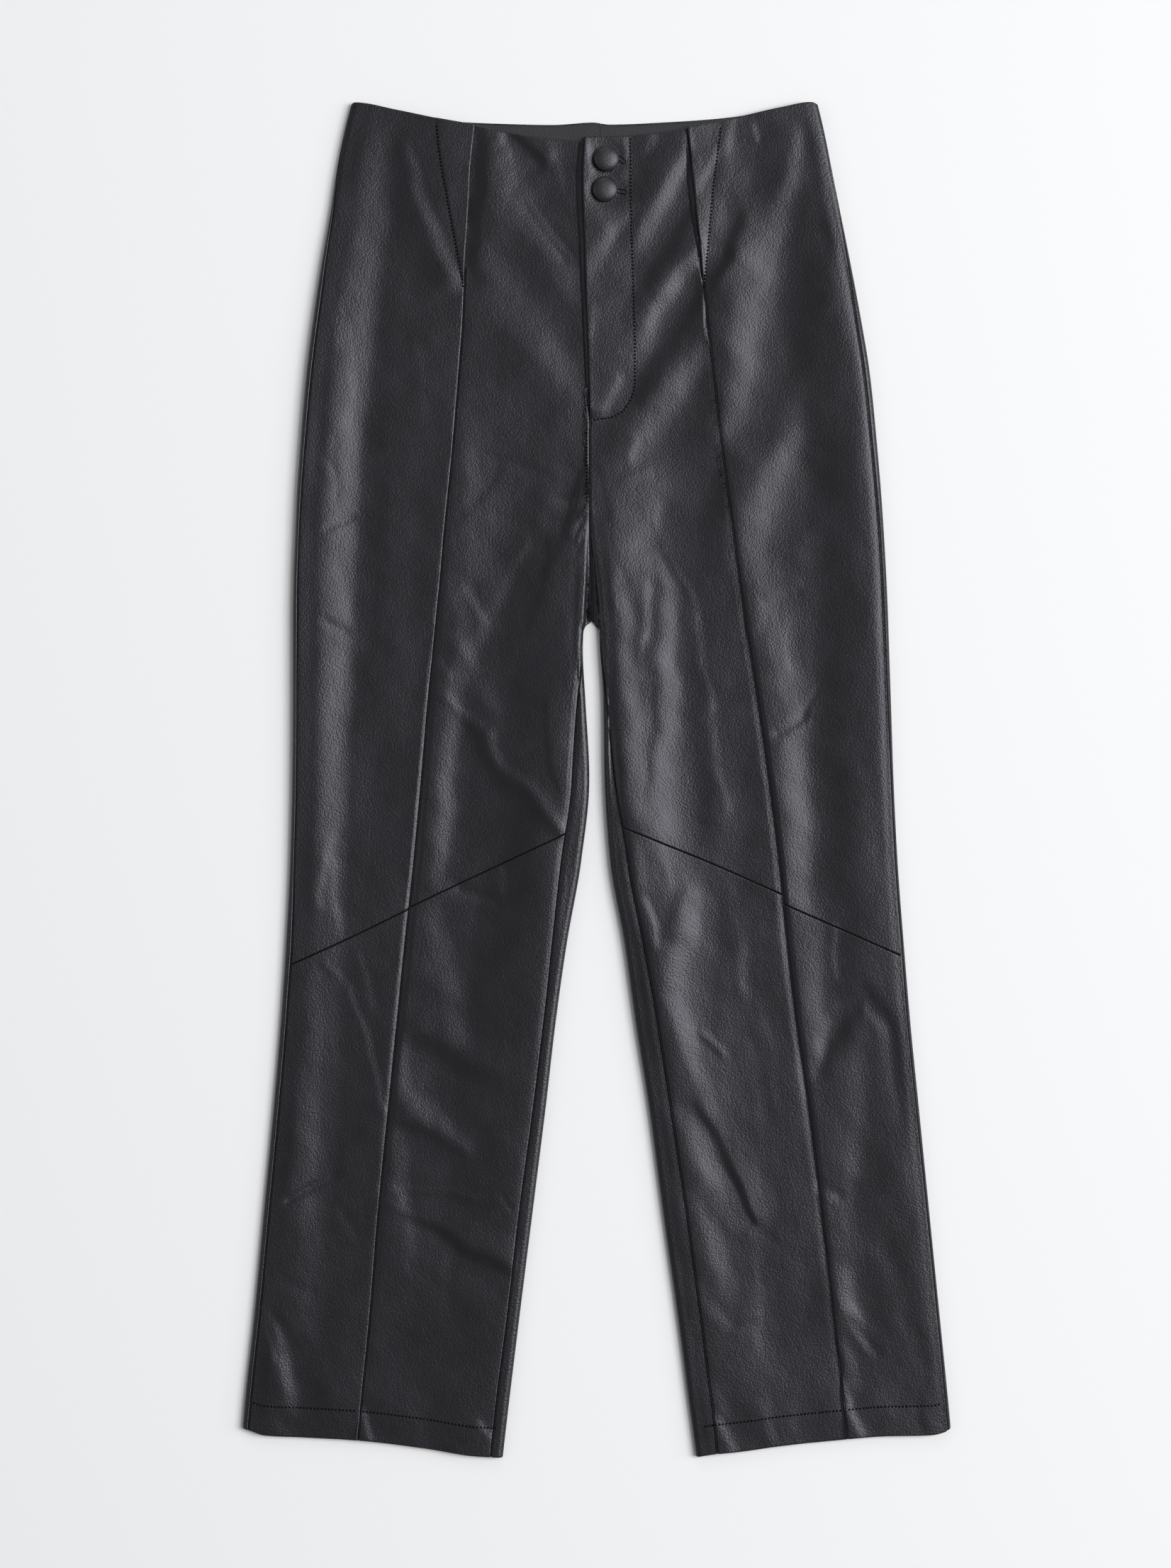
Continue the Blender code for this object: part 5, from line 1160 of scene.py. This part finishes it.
def build_front(kind, side, material):
    """One front panel: kind is centre or side, and upper or lower."""
    sign = SIGN[side]
    centre, upper = kind.startswith("centre"), kind.endswith("upper")
    half_gap = 0.5 * SEAM_GAP

    def inner(y):
        if centre:
            return centre_inner_place(side, y)
        return leg_curve(side, "front_seam", y) + sign * half_gap

    def outer(y):
        return centre_outer_place(side, y) if centre else seam_place(side, "outseam", y, half_gap)

    anchors = [inner, outer]
    if kind == "side_upper":
        anchors = [inner, lambda y: tuck_line(side, y), outer]
    if kind == "centre_upper":
        anchors = [inner, lambda y: slot_line(side, y), outer]
    counts = [int(span / FRONT_STEP) for span in FRONT_SPANS[kind + "_" + side]]
    knee = KNEE_SEAM[("centre_" if centre else "side_") + side]

    def top(x):
        return curve(FRONT_WAIST[side], x) if upper else curve(knee, x) - half_gap

    def bottom(x):
        return curve(knee, x) + half_gap if upper else curve(HEM_EDGE[side], x)

    close = VALLEY_LINES if kind == "centre_upper" else CLOSE_LINES
    places, heights = panel_grid(side, anchors, counts, top, bottom, not upper, close)
    edges = (inner(heights), outer(heights), heights[:1], heights[-1:])
    over, under = front_faces(kind, side, places, heights, edges, not upper)
    name = "front_" + kind + "_" + side
    piece = shell("cloth_" + name, over, under, material, flip=sign < 0.0)
    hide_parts(name)
    return piece, flat_size(over)


def back_point(side, place, y):
    """Outer face of the back panel.

    place runs from 0 at the outseam to 1 where the outer fold meets the floor, 2 where the floor ends at
    the inner fold, and 3 at the inseam; above the crotch the last stretch lies on the floor up to the
    centre back.
    """
    sign = SIGN[side]
    half_gap = 0.5 * SEAM_GAP
    first = np.clip(place, 0.0, 1.0)
    outer_arc = mix(leg_curve(side, "outseam", y) - half_gap, -FOLD_ARC, first)
    outer_place = arc_to_place(leg_curve(side, "outer", y), -sign, outer_arc)
    points = surface_point(side, outer_place, y)
    floor_outer = leg_curve(side, "outer", y) - sign * FOLD_REACH
    centre_back = curve(CENTRE_BACK, y) + sign * half_gap
    hip_end = centre_back + sign * CENTRE_BACK_STRIP
    leg_end = leg_curve(side, "inner", y) + sign * FOLD_REACH
    below_crotch = 1.0 - above_crotch(y)
    floor_inner = mix(hip_end, leg_end, below_crotch)
    second = np.clip(place - 1.0, 0.0, 1.0)
    floor = np.stack([mix(floor_outer, floor_inner, second), y, 0.0 * y], axis=-1)
    points = np.where((place > 1.0)[..., None], floor, points)
    third = np.clip(place - 2.0, 0.0, 1.0)
    hip = np.stack([mix(hip_end, centre_back, third), y, 0.0 * y], axis=-1)
    leg_y = np.minimum(y, CROTCH)
    inner_arc = mix(-FOLD_ARC, leg_curve(side, "inseam", leg_y) - 0.5 * INSEAM_GAP, third)
    x, z = round_fold(leg_curve(side, "inner", leg_y), sign, inner_arc, curve(INNER_FOLD, leg_y))
    z = np.where(inner_arc > FOLD_ARC, top_height(side, x, np.minimum(y, BELOW_VALLEY)), z)
    leg = np.stack([x, y, z], axis=-1)
    inner = mix(hip, leg, below_crotch[..., None])
    return np.where((place > 2.0)[..., None], inner, points)


def back_normals(side, place, y):
    """Outward normals of the back panel; on the floor they point straight down."""
    ahead = back_point(side, np.minimum(place + PLACE_STEP, 3.0), y)
    behind = back_point(side, np.maximum(place - PLACE_STEP, 0.0), y)
    up = back_point(side, place, y + NORMAL_STEP) - back_point(side, place, y - NORMAL_STEP)
    normal = np.cross(ahead - behind, up) * SIGN[side]
    normal = normal / np.linalg.norm(normal, axis=-1, keepdims=True)
    flat = (place > FLOOR_START) & (place < FLOOR_END)
    return np.where(flat[..., None], np.array([0.0, 0.0, -1.0]), normal)


def build_back(side, material):
    """A back panel, round both folds of its leg from the outseam to the inseam."""
    seam_places = np.array(SEAM_PLACES)
    fold = np.concatenate([seam_places, np.linspace(*OUTER_PLACES)])
    floor = np.linspace(*FLOOR_PLACES)[1:]
    inner = np.concatenate([np.linspace(*INNER_PLACES)[1:], 3.0 - seam_places[::-1] * INSEAM_SPACING])
    column_places = np.concatenate([fold, floor, inner])
    ends = []
    for edge in ("top", "bottom"):
        y = np.full(len(column_places), FIRST_GUESS if edge == "top" else -FIRST_GUESS)
        for _ in range(EDGE_ROUNDS):
            x = back_point(side, column_places, y)[..., 0]
            if edge == "top":
                y = np.where(column_places <= WAIST_TURN, curve(FRONT_WAIST[side], x), curve(BACK_WAIST, x))
            else:
                y = curve(HEM_EDGE[side], x)
        ends.append(y)
    anchors = [ends[0], ends[1] + HEM, ends[1]]
    rows = grid_lines([int(BACK_LENGTH / BACK_STEP), int(HEM / BACK_STEP)], -1.0)
    heights = lay_lines(rows, [np.tile(anchor, (len(rows), 1)) for anchor in anchors], 0)
    places = np.tile(column_places, (len(rows), 1))
    outer = back_point(side, places, heights)
    normal = back_normals(side, places, heights)
    from_top = heights[:1] - heights
    from_bottom = heights - heights[-1:]
    over = -roll(from_top, TOP_EDGE_DROP) - roll(from_bottom, WALL)
    flat = (places > FLOOR_START) & (places < FLOOR_END)
    over = np.where(flat, 0.0, over)
    over = over - seam_edge(places * OUTSEAM_REACH, side == "right", side)
    over = over - seam_edge((3.0 - places) * INSEAM_REACH, side == "left", side)
    thickness = WALL + np.where(from_bottom <= HEM, WALL, 0.0)
    face = outer + normal * over[..., None]
    inside = outer - normal * thickness[..., None]
    piece = shell("cloth_back_" + side, face, inside, material, flip=SIGN[side] > 0.0)
    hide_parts("back_" + side)
    return piece, flat_size(face)


def build_facing(side, material):
    """Facing inside the back waist, from the centre back to near the side fold."""
    sign = SIGN[side]
    low = WALL + SEAM_GAP
    across = np.linspace(0.0, 1.0, FACING_COLUMNS)
    depth = np.concatenate([FACING_EDGE + np.array(FACING_EDGE_ROWS),
                            np.linspace(FACING_FIRST_ROW, FACING_EDGE + FACING_DEPTH, FACING_ROWS)])
    start = CENTRE_BACK[-1][1] + sign * 0.5 * SEAM_GAP
    end = float(leg_curve(side, "outer", FACING_LEVEL)) - sign * FACING_CLEARANCE
    x = np.tile(mix(start, end, across), (len(depth), 1))
    y = curve(BACK_WAIST, x) - depth[:, None]
    round_edge = roll(depth[:, None] - FACING_EDGE + 0.0 * x, FACING_ROUNDING)
    top_face = np.stack([x, y, low + FACING_WALL - round_edge], axis=-1)
    under_face = np.stack([x, y, low + 0.0 * x], axis=-1)
    piece = shell("cloth_back_facing_" + side, top_face, under_face, material, flip=sign < 0.0)
    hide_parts("back_facing_" + side)
    return piece, flat_size(top_face)


def stitches(name, spots, normal, material, pitch=STITCH_PITCH, length=STITCH_LENGTH, radius=THREAD_RADIUS):
    """A row of stitches along closely spaced points of a line, each a rounded bar of thread."""
    step = np.linalg.norm(np.diff(spots, axis=0), axis=1)
    reach = np.concatenate([[0.0], np.cumsum(step)])
    vertices, faces = [], []
    for index in range(int(reach[-1] / pitch)):
        middle = (index + 0.5) * pitch
        at = [middle - 0.5 * length, middle, middle + 0.5 * length]
        ends = np.array([[np.interp(s, reach, spots[:, axis]) for axis in range(3)] for s in at])
        up = np.array([np.interp(middle, reach, normal[:, axis]) for axis in range(3)])
        along = ends[2] - ends[0]
        along = along / np.linalg.norm(along)
        side = np.cross(up, along)
        side = side / np.linalg.norm(side)
        up = np.cross(along, side)
        first = len(vertices)
        for share, thickness in STITCH_PROFILE:
            centre = ends[1] + along * share * length
            for corner in range(STITCH_SIDES):
                angle = 2.0 * math.pi * corner / STITCH_SIDES
                ring = side * math.cos(angle) + up * math.sin(angle)
                vertices.append((centre + ring * thickness * radius) * MM)
        for ring in range(len(STITCH_PROFILE) - 1):
            for corner in range(STITCH_SIDES):
                a = first + ring * STITCH_SIDES + corner
                b = first + ring * STITCH_SIDES + (corner + 1) % STITCH_SIDES
                faces.append((a, b, b + STITCH_SIDES, a + STITCH_SIDES))
        last = first + (len(STITCH_PROFILE) - 1) * STITCH_SIDES
        faces.append(tuple(range(first, first + STITCH_SIDES))[::-1])
        faces.append(tuple(range(last, last + STITCH_SIDES)))
    piece = add_mesh(name, np.array(vertices), faces, material)
    return piece


def stitched_on(side, x, y, offset):
    """Points and normals along a line on the front, offset above the top layer."""
    normal = normals(side, x, y)
    return surface_point(side, x, y) + normal * (offset + THREAD_SINK)[..., None], normal


def tuck_stitches(side, material):
    """Stitches along a tuck from the dart point up."""
    y = np.linspace(TUCK_STITCH_START, TUCK_STITCH_TOP[side], LINE_POINTS["tuck"])
    x = curve(TUCK_STITCH[side], y)
    over, _ = tuck_offsets(side, x, y)
    return stitches("stitches_tuck_" + side, *stitched_on(side, x, y, over), material)


def hem_stitches(side, start, end, name, material):
    """Stitches that hold a turned-up hem, between two places across the leg."""
    x = np.linspace(start, end, LINE_POINTS["hem"])
    y = curve(HEM_EDGE[side], x) + HEM
    return stitches("stitches_hem_" + name, *stitched_on(side, x, y, 0.0 * x), material)


def fly_stitches(material):
    """Stitches along the fly and round its end."""
    line = fly_stitch_line()
    over, _ = fly_offsets(line[:, 0], line[:, 1])
    return stitches("stitches_fly", *stitched_on("left", line[:, 0], line[:, 1], over), material)


def centre_stitches(material):
    """Stitches beside the centre seam below the fly."""
    y = np.linspace(CENTRE_STITCH_TOP, CENTRE_STITCH_END, LINE_POINTS["centre"])
    x = centre_front(y) - CENTRE_STITCH_PLACE
    return stitches("stitches_centre", *stitched_on("right", x, y, 0.0 * x), material)


def buttonhole(name, corners, material):
    """The end of a thread buttonhole that shows beside its button: a narrow loop of close stitches."""
    (x0, y0), (x1, y1) = corners
    length = math.hypot(x1 - x0, y1 - y0)
    along = ((x1 - x0) / length, (y1 - y0) / length)
    turn = np.linspace(0.0, 2.0 * math.pi, LINE_POINTS["buttonhole"])
    far = np.sign(np.cos(turn)) * 0.5 * length + BUTTONHOLE_HALF_WIDTH * np.cos(turn)
    off = BUTTONHOLE_HALF_WIDTH * np.sin(turn)
    x = 0.5 * (x0 + x1) + far * along[0] - off * along[1]
    y = 0.5 * (y0 + y1) + far * along[1] + off * along[0]
    over, _ = fly_offsets(x, y)
    spots, normal = stitched_on("left", x, y, over)
    return stitches(name, spots, normal, material, BUTTONHOLE_PITCH, BUTTONHOLE_STITCH, BUTTONHOLE_THREAD)


def build_button(name, centre, material):
    """A covered button: a rounded rim and a low dome, seated on the fly lap and tilted with it."""
    x, y = centre
    _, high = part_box(name)
    seat = high.z / MM - BUTTON_DOME
    profile = [(BUTTON_RADIUS - BUTTON_BACK_INSET, 0.0),
               (BUTTON_RADIUS - BUTTON_EDGE_INSET, BUTTON_EDGE_HEIGHT)]
    for index in range(BUTTON_RINGS):
        angle = 0.5 * math.pi * index / BUTTON_RINGS
        reach = BUTTON_RADIUS * math.cos(angle) ** BUTTON_FULLNESS
        profile.append((reach, BUTTON_RIM + (BUTTON_DOME - BUTTON_RIM) * math.sin(angle)))
    segments = BUTTON_SEGMENTS
    vertices = [(x, y, seat), (x, y, seat + BUTTON_DOME)]
    for radius, height in profile:
        for index in range(segments):
            angle = 2.0 * math.pi * index / segments
            gather = smoothstep((BUTTON_RIM + GATHER_TOP - height) / GATHER_FADE)
            gather = GATHER_DEPTH * math.sin(angle * GATHER_COUNT) * gather
            spot = radius + float(gather)
            across = spot * math.cos(angle)
            vertices.append((x + across, y + spot * math.sin(angle), seat + height + BUTTON_TILT * across))
    faces = []
    rings = len(profile)
    last = 2 + (rings - 1) * segments
    for index in range(segments):
        following = (index + 1) % segments
        faces.append((0, 2 + following, 2 + index))
        faces.append((1, last + index, last + following))
        for ring in range(rings - 1):
            a, b = 2 + ring * segments + index, 2 + ring * segments + following
            faces.append((a, b, b + segments, a + segments))
    piece = add_mesh("cover_" + name, np.array(vertices) * MM, faces, material)
    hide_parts(name)
    return piece


def leather(name, colour, roughness, grain):
    """Faux leather: near-black coated cloth with a fine pebbled grain and a satin gloss."""
    material = bpy.data.materials.new(name)
    material.use_nodes = True
    tree = material.node_tree
    shader = tree.nodes["Principled BSDF"]
    shader.inputs["IOR"].default_value = LEATHER_IOR
    shader.inputs["Specular Tint"].default_value = LEATHER_TINT
    coordinates = tree.nodes.new("ShaderNodeTexCoord")

    def noise(scale, detail):
        node = tree.nodes.new("ShaderNodeTexNoise")
        node.inputs["Scale"].default_value = scale
        node.inputs["Detail"].default_value = detail
        tree.links.new(coordinates.outputs["Object"], node.inputs["Vector"])
        return node.outputs["Fac"]

    def bump(height, strength, depth, under=None):
        node = tree.nodes.new("ShaderNodeBump")
        node.inputs["Strength"].default_value = strength * grain
        node.inputs["Distance"].default_value = depth * MM
        tree.links.new(height, node.inputs["Height"])
        if under is not None:
            tree.links.new(under.outputs["Normal"], node.inputs["Normal"])
        return node

    tone = tree.nodes.new("ShaderNodeValToRGB")
    for element, (position, share) in zip(tone.color_ramp.elements, TONE_STOPS):
        element.position = position
        element.color = (*[channel * share for channel in colour], 1.0)
    tree.links.new(noise(*TONE_PATCHES), tone.inputs["Fac"])
    tree.links.new(tone.outputs["Color"], shader.inputs["Base Color"])

    gloss = tree.nodes.new("ShaderNodeMapRange")
    gloss.inputs["To Min"].default_value = roughness - GLOSS_SPREAD
    gloss.inputs["To Max"].default_value = roughness + GLOSS_SPREAD
    tree.links.new(noise(*GLOSS_PATCHES), gloss.inputs["Value"])
    tree.links.new(gloss.outputs["Result"], shader.inputs["Roughness"])

    pebbles = tree.nodes.new("ShaderNodeTexVoronoi")
    pebbles.feature = "SMOOTH_F1"
    pebbles.inputs["Scale"].default_value = PEBBLE_SCALE
    pebbles.inputs["Smoothness"].default_value = PEBBLE_SMOOTHNESS
    tree.links.new(coordinates.outputs["Object"], pebbles.inputs["Vector"])
    pebbled = bump(pebbles.outputs["Distance"], *PEBBLE_BUMP)
    pebbled.invert = True
    grained = bump(noise(*FINE_GRAIN), *FINE_BUMP, pebbled)
    grained = bump(noise(*COARSE_GRAIN), *COARSE_BUMP, grained)
    tree.links.new(grained.outputs["Normal"], shader.inputs["Normal"])
    return material


def matte(name, colour):
    """A surface without gloss."""
    material = bpy.data.materials.new(name)
    material.use_nodes = True
    shader = material.node_tree.nodes["Principled BSDF"]
    shader.inputs["Base Color"].default_value = (*colour, 1.0)
    shader.inputs["Roughness"].default_value = MATTE_ROUGHNESS
    shader.inputs["Specular IOR Level"].default_value = MATTE_SPECULAR
    return material


def build_camera():
    """Camera that looks straight down on the trousers."""
    data = bpy.data.cameras.new("camera")
    data.lens = LENS
    data.sensor_width = SENSOR
    data.clip_start = NEAREST
    data.clip_end = FARTHEST
    camera = bpy.data.objects.new("camera", data)
    distance = PICTURE_HEIGHT * LENS / SENSOR + CLOTH_LEVEL
    camera.location = (CAMERA_X * MM, CAMERA_Y * MM, distance * MM)
    camera.rotation_euler = (0.0, 0.0, 0.0)
    bpy.context.scene.collection.objects.link(camera)
    bpy.context.scene.camera = camera


def area_light(name, location, size, power):
    """A soft rectangular light aimed at the middle of the trousers."""
    data = bpy.data.lights.new(name, "AREA")
    data.shape = "RECTANGLE"
    data.size, data.size_y = size
    data.energy = power
    light = bpy.data.objects.new(name, data)
    light.location = location
    aim = Vector((0.0, 0.0, 0.0)) - Vector(location)
    light.rotation_mode = "QUATERNION"
    light.rotation_quaternion = aim.to_track_quat("-Z", "Y")
    light.visible_camera = False
    bpy.context.scene.collection.objects.link(light)


def build_room():
    """Pale floor, even ambient light, two large soft lights on the right and two weak ones as fill."""
    half = FLOOR_HALF
    floor_mesh = bpy.data.meshes.new("floor")
    vertices = [(-half, -half, 0.0), (half, -half, 0.0), (half, half, 0.0), (-half, half, 0.0)]
    floor_mesh.from_pydata(vertices, [], [(0, 1, 2, 3)])
    floor = bpy.data.objects.new("floor", floor_mesh)
    bpy.context.scene.collection.objects.link(floor)
    floor_mesh.materials.append(matte("pale_floor", FLOOR_COLOUR))
    world = bpy.data.worlds.new("room")
    bpy.context.scene.world = world
    world.use_nodes = True
    background = world.node_tree.nodes["Background"]
    background.inputs["Color"].default_value = (*ROOM_COLOUR, 1.0)
    background.inputs["Strength"].default_value = ROOM_STRENGTH
    for name, (location, size, power) in LIGHTS.items():
        area_light(name, location, size, power)
    bpy.context.scene.view_settings.view_transform = "Standard"


def build_leg(side, cloth, facing, thread):
    """The panels of one leg with their sewing."""
    for kind in ("centre_upper", "side_upper", "centre_lower", "side_lower"):
        build_front(kind, side, cloth)
    back, back_size = build_back(side, cloth)
    facing_piece, facing_size = build_facing(side, facing)
    sign = SIGN[side]
    at_hem = {column: float(leg_curve(side, column, level)) for column, level in HEM_LEVELS.items()}
    outer, inner = at_hem["outer"] - sign * HEM_MARGIN, at_hem["inner"] + sign * HEM_MARGIN
    beside_seam = sign * HEM_SEAM_MARGIN
    side_hem = hem_stitches(side, outer, at_hem["front_seam"] + beside_seam, "side_" + side, thread)
    centre_hem = hem_stitches(side, at_hem["front_seam"] - beside_seam, inner, "centre_" + side, thread)
    if side == "left":
        centre_sewing = [fly_stitches(thread)]
        centre_sewing += [buttonhole(name, corners, thread) for name, corners in BUTTONHOLES.items()]
    else:
        centre_sewing = [centre_stitches(thread)]
    sewing = {"centre_upper": centre_sewing, "side_upper": [tuck_stitches(side, thread)],
              "centre_lower": [centre_hem], "side_lower": [side_hem]}


def main():
    build_camera()
    build_room()
    cloth, facing, cover = [leather(name, *look) for name, look in LEATHERS.items()]
    thread = matte("thread", THREAD_COLOUR)
    for side in SIDES:
        build_leg(side, cloth, facing, thread)
    for name, centre in BUTTON_PLACES.items():
        build_button(name, centre, cover)


main()
